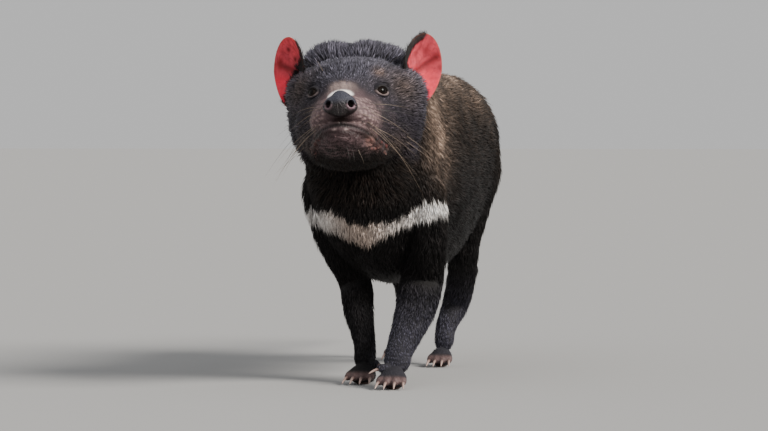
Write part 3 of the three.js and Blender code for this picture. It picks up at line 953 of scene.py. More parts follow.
def coat_colours(points, local, in_head, normals):
    """The colours of the coat's roots and tips, with painted sunlight, sheen and shade worked in."""
    # Brown tips, made stronger on upward faces and higher up as painted sunlight
    top = smooth_step(-0.2, 0.9, normals[:, 2])
    patch = 0.5 + 0.5 * waves(points, 38, 21)
    root = all_over(points, BLACK_FUR)
    sunlit_brown = (0.25 + 0.75 * top) * (0.35 + 0.65 * patch) * smooth_step(130, 250, points[:, 2])
    sunlit_brown = sunlit_brown * smooth_step(-150, -110, points[:, 1])
    tip = mix(root * 1.5, BROWN_TIPS, sunlit_brown)
    # Painted sheen on the top of the nape
    nape = near(points, (-8, -146, 312), (90, 36, 24))
    tip = mix(tip, FOREHEAD_SHEEN * 1.15, nape)
    root = mix(root, FACE_FUR * 0.8, nape)
    # Painted sunlight: a pool of light on the shoulder that faces the sun
    sunlit_shoulder = near(points, (62, -100, 246), (22, 46, 44))
    tip = mix(tip, SUNLIT_TIPS, sunlit_shoulder * (0.5 + 0.5 * patch))
    root = mix(root, SUNLIT_TIPS * 0.5, sunlit_shoulder * 0.8 * patch)
    # Painted sunlight along the top of the back
    ridge = smooth_step(235, 295, points[:, 2]) * smooth_step(-130, -90, points[:, 1])
    tip = mix(tip, SUNLIT_TIPS * 0.8, ridge * (0.12 + 0.45 * patch**2))
    tip = mix(tip, THROAT_FUR, near(points, (-5, -215, 202), (50, 40, 26)) * 0.8)
    # Painted sheen on the lower legs, strongest on the legs of the sunlit left side
    sunlit_shins = smooth_step(105, 25, points[:, 2]) * (0.08 + 0.77 * smooth_step(-8, 14, points[:, 0]))
    tip = mix(tip, SHIN_SHEEN, sunlit_shins)
    # Painted sheen: the face's fur grows lighter and bluer towards the crown
    high = smooth_step(2, 34, local[:, 2]) * (1 - 0.25 * smooth_step(110, 124, local[:, 1]))
    face_tip = mix(all_over(points, FACE_FUR), FOREHEAD_SHEEN, high)
    face_tip = mix(face_tip, TAN_TIPS, near(local, (27, 65, 38), (5, 8, 6)) * 0.6)
    face_tip = mix(face_tip, BROWN_TIPS * 1.3, near(np.abs(local), (46, 84, 30), (20, 30, 18)) * 0.8)
    # Painted shade: the face's fur darkens under the jaw
    face_tip = mix(face_tip, THROAT_FUR * 0.35, smooth_step(-22, -33, local[:, 2]))
    # Painted shade under the brows, darkening the fur round each eye
    for side in (LEFT, RIGHT):
        face_tip = mix(face_tip, BLACK_FUR, near(local, on_side((30, 62, 27), side), (11, 12, 8)) * 0.55)
    root = mix(root, FACE_FUR * 0.4, in_head * smooth_step(-32, -12, local[:, 2]))
    tip = mix(tip, face_tip, in_head)
    bar = white_bar(points)
    # The white bar, with the head's painted shadow across its middle and painted sunlight brightening it
    # towards the animal's left
    bar_white_and_shade = mix(all_over(points, WHITE_FUR), BAR_SHADOW, near(points[:, :1], (-3,), (30,)))
    bar_white_and_shade = bar_white_and_shade * (0.86 + 0.14 * smooth_step(-10, 30, points[:, 0]))[:, None]
    root = mix(root, bar_white_and_shade * 0.8, bar)
    tip = mix(tip, bar_white_and_shade, bar)
    return root, tip


def bare_skin(points, local, in_head, normals, seed):
    """The colour of the bare skin with painted highlights and shade about the mouth and under the nose, how
    bare it is, the bald patch above the nose and the muzzle.
    """
    skin = all_over(points, BLACK_FUR * 1.6)
    reach = local[:, 1] + 0.35 * np.maximum(local[:, 2], 0) + 5 * waves(local, 14, 45)
    muzzle = smooth_step(66, 26, reach) * in_head
    chin = smooth_step(-22, -27, local[:, 2]) * smooth_step(84, 56, local[:, 1]) * in_head
    chin = chin * smooth_step(-37, -27, local[:, 2])
    bare = np.maximum(muzzle * 0.9, chin * 0.9)
    skin = mix(skin, MUZZLE_SKIN, muzzle)
    skin = mix(skin, CHIN_SKIN, chin)
    away, _ = nearest(local, mouth_line()[::3])
    corner = smooth_step(14, 50, local[:, 1])
    blotch = 0.5 + 0.5 * waves(local, 7, 41)
    around = np.exp(-((away / 8.0) ** 2)) * in_head
    bare = np.maximum(bare, around * 0.9)
    skin = mix(skin, PHILTRUM, around * smooth_step(6, 30, local[:, 1]) * 0.85)
    skin = mix(skin, LIP_FLESH, around * 0.5 * corner * blotch)
    for at, size, colour in warts(seed):
        near_it = np.exp(-((((local - at) ** 2).sum(1) / (size * 0.85) ** 2) ** 2))
        skin = mix(skin, colour, near_it * in_head * 0.85)
        bare = np.maximum(bare, near_it * in_head * 0.9)
    beds = bristle_beds(local, seed) * muzzle * smooth_step(-24, -16, local[:, 2])
    skin = mix(skin, BRISTLE_BED, beds * 0.75)
    bare = np.maximum(bare, 0.9 * near(local, SORE_CORNER, (10, 14, 10)))
    skin = mix(skin, SORE_RED, near(local, (-35, 64, -42), (8, 12, 10)) * blotch * in_head * 0.7)
    skin = mix(skin, WART_PINK, near(local, (24, 32, -32), (4.5, 7, 7)) * 0.8)
    # Painted shade under the nose
    shade_under_nose = np.exp(-((local[:, 0] / 12) ** 2)) * smooth_step(-6, -13, local[:, 2])
    shade_under_nose = shade_under_nose * smooth_step(-25, -20, local[:, 2]) * smooth_step(22, 9, local[:, 1])
    skin = mix(skin, PHILTRUM, shade_under_nose)
    # Two painted highlights on the lower lip
    lip_highlight = near(np.abs(local), (5.2, 5, 24.6), (1.7, 4, 1.0)) * (local[:, 2] < 0)
    skin = mix(skin, LIP_HIGHLIGHT, lip_highlight * 0.7)
    # Painted shade in the mouth's groove: a dark line along the mouth
    skin = mix(skin, BLACK_FUR, np.exp(-((away / 1.8) ** 2)) * in_head * 0.95)
    halo = smooth_step(1.5, 0.6, span(local, (-3.5, 37, 21), (12.5, 17, 10))) * in_head
    streak = 0.5 + 0.5 * waves(local * (1, 0.25, 0.25), 3.5, 47)
    skin = mix(skin, BRIDGE_SKIN, halo * (0.45 + 0.5 * streak))
    bald = smooth_step(1.22, 0.92, span(local, (-3.4, 25, 14), (12, 11, 9.8))) * in_head
    skin = mix(skin, BALD_PATCH, bald)
    bare = np.maximum(bare, np.maximum(bald, halo * 0.6))
    toes = toe_share(points) * 0.7
    skin = mix(skin, TOE_SKIN, toes)
    sole = smooth_step(3.0, 1.0, points[:, 2]) * smooth_step(-0.2, -0.7, normals[:, 2])
    skin = mix(skin, PAD_SKIN, sole)
    bare = np.maximum(bare, np.maximum(sole, toes))
    return skin, bare, bald, muzzle


# Materials


def new_material(name):
    """A material with its shader and its own node tree."""
    material = bpy.data.materials.new(name)
    material.use_nodes = True
    tree = material.node_tree
    return material, tree, tree.nodes["Principled BSDF"]


def link(tree, source, target):
    """Joins two sockets."""
    tree.links.new(source, target)


def calculated(tree, operation, *values):
    """The result of a Math node whose inputs are constants or other nodes' results."""
    node = tree.nodes.new("ShaderNodeMath")
    node.operation = operation
    for socket, value in zip(node.inputs, values):
        if isinstance(value, float):
            socket.default_value = value
        else:
            link(tree, value, socket)
    return node.outputs[0]


def grain_group():
    """A shader group: fine mottling of a colour, and a height for bump, at a given scale."""
    group = bpy.data.node_groups.get("fine_grain")
    if group:
        return group
    group = bpy.data.node_groups.new("fine_grain", "ShaderNodeTree")
    face = group.interface
    face.new_socket("Colour", in_out="INPUT", socket_type="NodeSocketColor")
    for name, value in (("Scale", 300.0), ("Mottle", 0.3)):
        face.new_socket(name, in_out="INPUT", socket_type="NodeSocketFloat").default_value = value
    face.new_socket("Colour", in_out="OUTPUT", socket_type="NodeSocketColor")
    face.new_socket("Height", in_out="OUTPUT", socket_type="NodeSocketFloat")
    nodes = group.nodes
    start = nodes.new("NodeGroupInput")
    end = nodes.new("NodeGroupOutput")
    place = nodes.new("ShaderNodeTexCoord")
    noise = nodes.new("ShaderNodeTexNoise")
    noise.inputs["Detail"].default_value = 6
    noise.inputs["Roughness"].default_value = 0.65
    cells = nodes.new("ShaderNodeTexVoronoi")
    cells.feature = "SMOOTH_F1"
    link(group, place.outputs["Object"], noise.inputs["Vector"])
    link(group, place.outputs["Object"], cells.inputs["Vector"])
    link(group, start.outputs["Scale"], noise.inputs["Scale"])
    link(group, start.outputs["Scale"], cells.inputs["Scale"])
    centred = calculated(group, "MULTIPLY_ADD", noise.outputs["Fac"], 2.0, -1.0)
    amount = calculated(group, "MULTIPLY", centred, start.outputs["Mottle"])
    lightness = calculated(group, "ADD", amount, 1.0)
    tint = nodes.new("ShaderNodeVectorMath")
    tint.operation = "SCALE"
    link(group, start.outputs["Colour"], tint.inputs[0])
    link(group, lightness, tint.inputs["Scale"])
    link(group, tint.outputs["Vector"], end.inputs["Colour"])
    height = calculated(group, "ADD", noise.outputs["Fac"], cells.outputs["Distance"])
    link(group, height, end.inputs["Height"])
    return group


def grained(tree, shader, colour, scale, mottle, bump, distance):
    """Feeds a colour and a bump through the grain group into a shader."""
    grain = tree.nodes.new("ShaderNodeGroup")
    grain.node_tree = grain_group()
    grain.inputs["Scale"].default_value = scale
    grain.inputs["Mottle"].default_value = mottle
    if isinstance(colour, tuple):
        grain.inputs["Colour"].default_value = (*colour, 1)
    else:
        link(tree, colour, grain.inputs["Colour"])
    link(tree, grain.outputs["Colour"], shader.inputs["Base Color"])
    raised = tree.nodes.new("ShaderNodeBump")
    raised.inputs["Strength"].default_value = bump
    raised.inputs["Distance"].default_value = distance
    link(tree, grain.outputs["Height"], raised.inputs["Height"])
    link(tree, raised.outputs["Normal"], shader.inputs["Normal"])


def attribute_of(tree, name):
    """A node that reads a stored colour."""
    node = tree.nodes.new("ShaderNodeAttribute")
    node.attribute_name = name
    return node


# Each surface's grain (scale, mottling, bump strength and depth) and its shader's other values
SURFACES = {
    # Skin under the coat, with pebbled bare skin on the muzzle and lips
    "devil_skin": ((520.0, 0.45, 0.7, 0.0009), {"Specular IOR Level": 0.24}),
    # Guard hair with a soft shine
    "devil_fur": ((700.0, 0.35, 0.25, 0.0003), {"Roughness": 0.55, "Specular IOR Level": 0.17}),
    # Wet dark skin with fine pebbles
    "devil_nose": (
        (800.0, 0.3, 0.9, 0.0008),
        {"Roughness": 0.36, "Specular IOR Level": 0.3, "Coat Weight": 0.1, "Coat Roughness": 0.2},
    ),
    # Thin skin that lets light through
    "devil_ear": ((260.0, 0.3, 0.35, 0.0006), {
        "Roughness": 0.6, "Specular IOR Level": 0.1, "Subsurface Weight": 0.4,
        "Subsurface Radius": (1.0, 0.22, 0.14), "Subsurface Scale": 0.006,
    }),
    "devil_eye": ((900.0, 0.4, 0.0, 0.0001), {"Roughness": 0.07, "Specular IOR Level": 0.09}),
    "devil_claw": ((380.0, 0.35, 0.3, 0.0004), {"Roughness": 0.42, "Coat Weight": 0.15}),
}
COVERED_ROUGHNESS = 0.85
BARE_ROUGHNESS = 0.48


def surface(name):
    """The painted material of that name, made once."""
    material = bpy.data.materials.get(name)
    if material:
        return material
    grain, values = SURFACES[name]
    material, tree, shader = new_material(name)
    grained(tree, shader, attribute_of(tree, "shade").outputs["Color"], *grain)
    for socket, value in values.items():
        shader.inputs[socket].default_value = value
    if name == "devil_skin":
        rough = tree.nodes.new("ShaderNodeMapRange")
        rough.inputs["To Min"].default_value = COVERED_ROUGHNESS
        rough.inputs["To Max"].default_value = BARE_ROUGHNESS
        link(tree, attribute_of(tree, "bare").outputs["Fac"], rough.inputs["Value"])
        link(tree, rough.outputs["Result"], shader.inputs["Roughness"])
    return material


# Pieces


def flesh_nodes():
    """The solids that the skin stands for."""
    names = ["head", "neck", "torso", "tail"]
    return names + [f"{part}_{leg}" for leg in LEGS for part in ("leg", "paw")]


def make_skin(sizes):
    """One skin over the whole body, with the face worked into it."""
    mesh = fused(skin_forms(), sizes.voxel / MM)
    points = points_of(mesh)
    local = moved(points, HEAD_BACK)
    in_face = smooth_step(120, 100, local[:, 1])
    throat = smooth_step(34, 60, local[:, 1]) * smooth_step(-28, -40, local[:, 2])
    low = smooth_step(34, 22, points[:, 2])
    strength = 0.55 * (1 - 0.75 * in_face * (1 - throat)) * (1 - 0.6 * low)
    points = relaxed(points, edges_of(mesh), strength, 14)
    points[:, 2] = np.maximum(points[:, 2], LOWEST_SKIN)
    put_points(mesh, points)
    mesh = thinned(mesh, (1 - in_face) * (1 - low), sizes.thinning)
    points = points_of(mesh)
    local = moved(points, HEAD_BACK)
    eyes = [np.linalg.norm(local - on_side(EYE_CENTRE, side), axis=1) < 17 for side in (LEFT, RIGHT)]
    mouth, _ = nearest(local, mouth_line()[::2])
    front = (local[:, 1] < 50) & (local[:, 2] < 12)
    mesh = refined(mesh, (mouth < 13) | front | eyes[0] | eyes[1])
    points = points_of(mesh)
    tris = triangles_of(mesh)
    normals = normals_of(points, tris)
    points = shape_face(points, normals, sizes.seed)
    put_points(mesh, points)
    normals = normals_of(points, tris)
    _, _, _, in_head, local = coat_field(points, normals)
    root, tip = coat_colours(points, local, in_head, normals)
    skin, bare, _, _ = bare_skin(points, local, in_head, normals, sizes.seed)
    # Under the coat the skin takes the fur's colour, darkened as painted shade between the tufts
    under = mix(skin, mix(root, tip, np.full(len(root), 0.25)) * 0.6, 1 - bare)
    paint(mesh, "shade", under)
    paint(mesh, "bare", np.repeat(bare[:, None], 3, 1))
    mesh.polygons.foreach_set("use_smooth", np.full(len(mesh.polygons), True))
    mesh.name = "skin"
    mesh.materials.clear()
    piece("skin", mesh, surface("devil_skin"), flesh_nodes())


def ball_mesh(around, rows):
    """A unit ball with its poles on z."""
    t = np.linspace(0, np.pi, rows + 1)[1:-1]
    a = 2 * np.pi * np.arange(around) / around
    ring = np.stack([
        np.outer(np.sin(t), np.cos(a)),
        np.outer(np.sin(t), np.sin(a)),
        np.outer(np.cos(t), np.ones(around)),
    ], -1).reshape(-1, 3)
    faces = tube_faces(around, rows)[:, ::-1]
    return np.vstack([[0, 0, 1], ring, [0, 0, -1]]), faces


def make_eyes():
    """Two wet eyes, with a slight bulge of the cornea, and their lids."""
    for word, side in SIDES.items():
        unit_ball, faces = ball_mesh(64, 48)
        off = np.degrees(np.arccos(np.clip(unit_ball[:, 2], -1, 1)))
        radius = EYE_RADIUS * (1 + 0.05 * smooth_step(42, 20, off))
        points = moved(unit_ball * radius[:, None], eye_matrix(side))
        mesh = mesh_of(f"eye_{word}", points, faces)
        ring = smooth_step(20, 24, off) * smooth_step(52, 42, off)
        colour = mix(all_over(off, PUPIL), IRIS, ring)
        white = smooth_step(60, 70, off)
        colour = mix(colour, EYE_WHITE, white)
        paint(mesh, "shade", colour)
        piece(f"eye_{word}", mesh, surface("devil_eye"), (f"eye_{word}",))
        make_lids(word, side)


def make_lids(word, side):
    """The two lids of an eye as one soft ring that sinks into the skin."""
    around = 48
    angle = 2 * np.pi * np.arange(around) / around
    half_width, upper, lower = 5.1, 3.3, 3.8
    tall = np.where(np.sin(angle) > 0, upper, lower)
    pointed = 0.82 + 0.18 * np.abs(np.cos(angle)) ** 3
    edge = np.stack([half_width * np.cos(angle) * pointed, tall * np.sin(angle)], 1)
    outwards = unit(np.stack([np.cos(angle) / half_width, np.sin(angle) / tall], 1))
    on_ball = np.sqrt(np.maximum((EYE_RADIUS + 0.25) ** 2 - (edge**2).sum(1), 1))
    top = np.clip(np.sin(angle), 0, 1)
    bottom = np.clip(-np.sin(angle), 0, 1)
    plump = 0.75 + 0.5 * top + 0.15 * bottom
    skin = 2.0
    section = [
        (0.5, on_ball - 1.6),
        (-0.1, on_ball - 0.3),
        (0.05, on_ball + 0.35 * plump),
        (0.7, on_ball + 0.85 * plump),
        (1.7, on_ball + 0.75 * plump),
        (2.9, np.maximum(on_ball * 0.45 + 1.6, skin + 0.9)),
        (4.6, np.full(around, skin - 0.1)),
        (6.6, np.full(around, skin - 2.0)),
        (5.0, np.full(around, skin - 4.0)),
        (2.0, np.full(around, skin - 3.4)),
    ]
    rings = [np.stack([*(edge + outwards * out).T, height], 1) for out, height in section]
    count = len(rings)
    points = np.stack(rings, 1).reshape(-1, 3)
    faces = []
    for a in range(around):
        b = (a + 1) % around
        for k in range(count):
            nxt = (k + 1) % count
            faces.append((a * count + k, b * count + k, b * count + nxt, a * count + nxt))
    mesh = mesh_of(f"lids_{word}", moved(points, eye_matrix(side)), np.array(faces))
    obj = bpy.data.objects.new("lids_draft", mesh)
    bpy.context.scene.collection.objects.link(obj)
    finer = obj.modifiers.new("Finer", "SUBSURF")
    finer.levels = 2
    finer.render_levels = 2
    mesh = applied(obj)
    points = points_of(mesh)
    tris = triangles_of(mesh)
    if (normals_of(points, tris) * (points - points.mean(0))).sum() < 0:
        mesh.flip_normals()
    inner = moved(points, np.linalg.inv(eye_matrix(side)))
    away = np.hypot(inner[:, 0] / half_width, inner[:, 1] / upper)
    below = smooth_step(0.5, -1.5, inner[:, 1])
    rim = smooth_step(1.75, 1.1, away)
    dark = all_over(points, FACE_FUR * 0.55)
    colour = mix(dark * 0.6, LID_EDGE, rim * (1 - below))
    pale = smooth_step(1.7, 1.3, away) * below * (0.3 if side == LEFT else 0.2)
    colour = mix(colour, LID_PINK, pale)
    colour = mix(colour, LID_WET, smooth_step(1.1, 1.0, away) * below)
    paint(mesh, "shade", colour)
    paint(mesh, "bare", np.repeat(rim[:, None], 3, 1))
    mesh.name = f"lids_{word}"
    mesh.polygons.foreach_set("use_smooth", np.full(len(mesh.polygons), True))
    mesh.materials.clear()
    piece(f"lids_{word}", mesh, surface("devil_skin"))


def make_nose():
    """The nose pad with its nostrils and the groove between them."""
    points, faces = form(
        NOSE, around=160, rows=120, caps=(0.35, 0.3), square=(2.2, 2.1), swellings=NOSE_SWELLINGS
    )
    inside = np.zeros(len(points))
    rim = np.zeros(len(points))
    for side in (LEFT, RIGHT):
        route = np.array([on_side(p, side) for p in NOSTRIL], float)
        axis = unit(route[-1] - route[0])
        start = route[1]
        away = points - start
        ahead = away @ axis
        off = away - ahead[:, None] * axis
        spread = off / (1.0, 1.0, 1.15)
        distance = np.linalg.norm(spread, axis=1)
        front = smooth_step(6, 3, ahead)
        hole = smooth_step(3.0, 2.2, distance) * front
        points = points + axis * (7.5 * hole)[:, None]
        raised = np.exp(-(((distance - 3.7) / 0.8) ** 2)) * front
        points = points - axis * (0.55 * raised)[:, None]
        slit = np.linalg.norm((points - start - (side * 3.8, 1.5, -1.8)) / (3.4, 3.0, 1.0), axis=1)
        points = points + axis * (1.6 * np.exp(-(slit**2)))[:, None]
        inside = np.maximum(inside, hole)
        edge = np.exp(-(((distance - 3.5) / 1.1) ** 2)) * front * smooth_step(-2.2, -4.6, points[:, 2])
        rim = np.maximum(rim, edge)
    groove = np.exp(-((points[:, 0] / 1.1) ** 2)) * smooth_step(-3, -8, points[:, 2])
    groove *= smooth_step(8, 2, points[:, 1])
    points[:, 1] += 0.6 * groove
    # Painted light on the nose: a blue-grey sheen on top, and painted shade on the underside
    colour = all_over(points, NOSE_SKIN_AND_SHEEN)
    colour = mix(colour, NOSE_UNDER_SHADE, smooth_step(3, -5, points[:, 2]) * 0.95)
    colour = mix(colour, NOSTRIL_RIM, rim * (0.4 + 0.35 * (points[:, 0] > 0)))
    colour = mix(colour, NOSTRIL_INSIDE, inside)
    mesh = mesh_of("nose", moved(points, HEAD), faces)
    paint(mesh, "shade", colour)
    piece("nose", mesh, surface("devil_nose"), ("nose",))


def ear_matrix(side):
    """The ear's own frame: x across, y through it from front to back, z to its tip."""
    outwards = EAR_LEAN[LEFT] if side == LEFT else -EAR_LEAN[RIGHT]
    place = Matrix.Translation(on_side(EAR_CENTRE, side))
    place = place @ Matrix.Rotation(math.radians(-HEAD_TURN[0]), 4, "X")
    place = place @ Matrix.Rotation(math.radians(side * EAR_TURN), 4, "Z")
    place = place @ Matrix.Rotation(math.radians(outwards), 4, "Y")
    return HEAD @ np.array(place)


def ear_points(x, z, front, side):
    """Points on the front or back of an ear at places across its unit disc."""
    radius = np.minimum(1, np.hypot(x, z))
    narrowing = 1 - 0.2 * np.maximum(0, -z)
    cup = EAR_CUP * (1 - radius**2)
    wall = EAR_THICKNESS * np.sqrt(np.maximum(1 - radius**6, 0))
    inner = -side * x
    slope, drop = EAR_CREASE[side]
    crease = (z + drop + slope * inner) / 0.11
    ridge = (z + drop + 0.18 + slope * inner) / 0.13
    keep = smooth_step(0.95, 0.7, radius)
    fold = (1.6 * np.exp(-(crease**2)) - 1.7 * np.exp(-(ridge**2)) * smooth_step(-0.6, 0.2, inner)) * keep
    fold += 0.5 * keep * waves(np.stack([x * EAR_HALF_WIDTH, 0 * x, z * EAR_HALF_HEIGHT], 1), 15, 61 + side)
    canal = 5.0 * np.exp(-(((inner - 0.45) / 0.28) ** 2) - ((z + 0.62) / 0.25) ** 2)
    depth = cup + fold * 0.8 - front * (wall - np.minimum(canal * 0.35, wall * 0.6))
    points = np.stack([x * EAR_HALF_WIDTH * narrowing, depth, z * EAR_HALF_HEIGHT], -1)
    return points, radius, inner, crease


def make_ear(word, side):
    """A cupped ear, pink inside with a dark crease and a dark front edge, and dark behind."""
    around, rows = 128, 96
    unit_ball, faces = ball_mesh(around, rows)
    turned = unit_ball[:, [0, 2, 1]] * (1, -1, 1)
    x, y, z = turned[:, 0], turned[:, 1], turned[:, 2]
    front = (y < 0).astype(float)
    points, radius, inner, crease = ear_points(x, z, front, side)
    colour = all_over(points, EAR_PINK)
    cloud = 0.5 + 0.5 * waves(points, 13, 31 + side)
    colour = mix(colour, EAR_PALE, (0.4 + 0.6 * cloud) * smooth_step(0.2, -0.4, z))
    speckle = 0.5 + 0.5 * waves(points, 8, 35 + side)
    colour = mix(colour, EAR_DEEP, speckle**2 * (0.15 + 0.6 * smooth_step(-0.3, 0.3, z)))
    veins = np.exp(-((waves(points, 9, 39 + side) / 0.12) ** 2)) * smooth_step(-0.5, 0.4, z)
    colour = mix(colour, EAR_DEEP, veins * 0.5)
    colour = mix(colour, EAR_DEEP, np.exp(-((crease / 1.2) ** 2)) * smooth_step(1, 0.8, radius) * 0.9)
    edge = np.interp(z, *np.array(EAR_BAND[side]).T) + 0.07 * waves(points, 6, 37 + side)
    band = smooth_step(edge - 0.08, edge + 0.14, inner)
    colour = mix(colour, BLACK_FUR, band * 0.96)
    colour = mix(colour, BLACK_FUR * 1.5, (1 - front) * smooth_step(1.0, 0.95, radius))
    colour = mix(colour, EAR_RIM, smooth_step(0.95, 1.0, radius) * 0.75)
    mesh = mesh_of(f"ear_{word}", moved(points, ear_matrix(side)), faces)
    tris = triangles_of(mesh)
    placed = points_of(mesh)
    paint(mesh, "shade", colour)
    piece(f"ear_{word}", mesh, surface("devil_ear"), (f"ear_{word}",))
    return placed, tris, points, front, radius, band


def make_claws():
    """The claws of each paw."""
    for name, leg in LEGS.items():
        place = paw_matrix(leg)
        toes = toes_of(name)
        parts = [claw_form(toe, place) for toe in toes]
        points, faces = joined(parts)
        share = np.tile(np.linspace(0, 1, len(parts[0][0])), len(parts))
        colour = mix(all_over(points, CLAW_ROOT), CLAW_TIP, smooth_step(0.2, 0.7, share))
        mesh = mesh_of(f"claws_{name}", points, faces)
        paint(mesh, "shade", colour)
        nodes = [f"claw_{name}_{i + 1}" for i in range(len(toes))]
        piece(f"claws_{name}", mesh, surface("devil_claw"), nodes)


# Coat

# How much one tuft's lightness differs from the next
COAT_CONTRAST = 0.36
FACE_CONTRAST = 0.5
# The size of a tuft's patch in the unwrap, and the unwrap's margin
TUFT_PATCH = 0.003
PATCH_MARGIN = 0.004
# No tuft comes lower than this, and no skin lower than its own limit
LOWEST_TUFT = 0.3
LOWEST_SKIN = 0.05
EAR_TUFTS = 1.7


def tuft_arrays(roots, normals, lie, length, width, lift, droop, rings):
    """Closed three-sided tapered tufts that rise from their roots and bend over along the coat's lie."""
    count = len(roots)
    rise = np.radians(lift)[:, None]
    first = lie * np.cos(rise) + normals * np.sin(rise)
    second = unit(lie * np.cos(rise * 0.25) + normals * np.sin(rise * 0.25) + droop)
    start = roots - normals * np.minimum(0.7, 0.3 * length)[:, None]
    middle = start + first * (length * 0.5)[:, None]
    end = middle + second * (length * 0.5)[:, None]
    knee = start + first * (length * 0.55)[:, None]
    across = unit(np.cross(lie, normals))
    levels = np.linspace(0, 1, rings + 1)[:-1]
    stages = []
    for t in levels:
        centre = (1 - t) ** 2 * start + 2 * t * (1 - t) * knee + t**2 * end
        half = (width * 0.5 * (0.75 + 0.6 * t) * (1 - t**2.2))[:, None]
        stages.append(centre - across * half)
        stages.append(centre + across * half)
        stages.append(centre + normals * half * 0.75)
    points = np.stack([*stages, end], 1)
    per = 3 * rings + 1
    pattern = [(0, 2, 1)]
    for r in range(rings - 1):
        for k in range(3):
            a, b = 3 * r + k, 3 * r + (k + 1) % 3
            pattern += [(a, b, b + 3), (a, b + 3, a + 3)]
    last = 3 * (rings - 1)
    for k in range(3):
        pattern.append((last + k, last + (k + 1) % 3, per - 1))
    faces = (np.arange(count)[:, None, None] * per + np.array(pattern)[None]).reshape(-1, 3)
    share = np.append(np.repeat(levels, 3), 1.0)
    side = np.append(np.tile([-0.5, 0.5, 0.0], rings), 0.0)
    return points.reshape(-1, 3), faces, share, side


def coat_piece(
    name, roots, normals, lie, measures, root_colour, tip_colour, unwrap, seed, rings=2, droop=0.08,
    contrast=COAT_CONTRAST,
):
    """A mesh of tufts, coloured from root to tip, with each tuft a small patch of the unwrap."""
    draw = np.random.default_rng(seed)
    count = len(roots)
    swirl = waves(roots, 26, seed + 1) * 0.22 + waves(roots, 7, seed + 2) * 0.22
    swirl = swirl + draw.normal(0, 0.16, count)
    across = np.cross(normals, lie)
    lie = unit(lie * np.cos(swirl)[:, None] + across * np.sin(swirl)[:, None])
    length = measures[:, 0] * draw.uniform(0.7, 1.15, count)
    width = measures[:, 1] * draw.uniform(0.75, 1.25, count)
    lift = measures[:, 2] * (1 + 0.25 * waves(roots, 18, seed + 3)) * draw.uniform(0.7, 1.25, count)
    droop = np.array([0, 0, -1.0]) * droop
    points, faces, share, side = tuft_arrays(roots, normals, lie, length, width, lift, droop, rings)
    points[:, 2] = np.maximum(points[:, 2], LOWEST_TUFT)
    calm = 1 - 0.7 * smooth_step(0.25, 0.5, tip_colour.mean(1))
    tone = np.exp(draw.normal(0, contrast, count) * calm) * (1 + 0.22 * waves(roots, 22, seed + 4))
    tone = (tone * (1 + 0.15 * waves(roots, 5, seed + 5)))[:, None, None]
    ramp = (share**0.8)[None, :, None]
    colour = (root_colour[:, None, :] * (1 - ramp) + tip_colour[:, None, :] * ramp) * tone
    mesh = mesh_of(name, points, faces)
    paint(mesh, "shade", np.clip(colour, 0, 0.95).reshape(-1, 3))
    low, high = unwrap.min(0), unwrap.max(0)
    placed = PATCH_MARGIN + (1 - 2 * PATCH_MARGIN) * (unwrap - low) / np.maximum(high - low, 1e-6)
    sideways = placed[:, None, 0] + TUFT_PATCH * side[None, :]
    lengthways = placed[:, None, 1] + TUFT_PATCH * (share[None, :] - 0.5)
    uv = np.clip(np.stack([sideways, lengthways], -1), 0, 1).reshape(-1, 2)
    layer = mesh.uv_layers.new(name="OFBake")
    layer.data.foreach_set("uv", uv[faces.ravel()].astype(np.float32).ravel())
    return piece(name, mesh, surface("devil_fur"))


def scattered(points, tris, density, per_area, seed):
    """Evenly spread random places on a surface: the triangle and the weights of its corners."""
    a, b, c = points[tris[:, 0]], points[tris[:, 1]], points[tris[:, 2]]
    area = np.linalg.norm(np.cross(b - a, c - a), axis=1) / 2 * density[tris].mean(1)
    total = np.cumsum(area)
    count = int(total[-1] * per_area)
    draw = np.random.default_rng(seed)
    at = (np.arange(count) + draw.uniform(0, 1, count)) / count * total[-1]
    which = np.minimum(np.searchsorted(total, at), len(tris) - 1)
    u, v = draw.uniform(0, 1, count), draw.uniform(0, 1, count)
    over = u + v > 1
    u[over], v[over] = 1 - u[over], 1 - v[over]
    weights = np.stack([1 - u - v, u, v], 1)
    return tris[which], weights


def at_places(values, corners, weights):
    """Values of the points read at scattered places."""
    if values.ndim > 1:
        weights = weights[..., None]
    return (values[corners] * weights).sum(1)


def unwrapped(points, centre, direction):
    """A cylinder's unwrap about a line: the angle round it and the distance along it."""
    axis = unit(np.array(direction, float))
    side = unit(np.cross(axis, (0.3, 0.1, 1.0)))
    up = np.cross(side, axis)
    away = points - np.array(centre, float)
    return np.stack([np.arctan2(away @ side, away @ up), away @ axis], 1)


def coat_density(points, local, in_head, normals, measures, bald):
    """How many tufts grow at each point of the skin."""
    on_head = in_head > 0.5
    density = measures[:, 3].copy()
    for side in (LEFT, RIGHT):
        eye = np.linalg.norm(local - on_side(EYE_CENTRE, side), axis=1)
        density *= np.where(on_head, smooth_step(7.4, 9.8, eye), 1)
    muzzle_left = smooth_step(14, 60, local[:, 1])
    beard = smooth_step(-27, -35, local[:, 2])
    density *= np.where(on_head, np.maximum(0.25 + 0.75 * muzzle_left, beard), 1)
    mouth, _ = nearest(local, mouth_line()[::3])
    density *= np.where(on_head, np.maximum(smooth_step(3, 9, mouth), beard * smooth_step(3, 5, mouth)), 1)
    density *= 1 - bald * on_head
    sore = np.maximum(near(local, SORE_CORNER, (9, 13, 9)), near(local, (27, 36, -33), (9, 14, 8)))
    density *= 1 - 0.85 * sore
    nose = span(local, (0, 5, -2), (17, 15, 15))
    density *= np.where(on_head, smooth_step(0.95, 1.1, nose), 1)
    density *= 1 - 0.45 * toe_share(points)
    density *= 1 - smooth_step(5, 2.5, points[:, 2]) * smooth_step(0.0, -0.5, normals[:, 2])
    return density


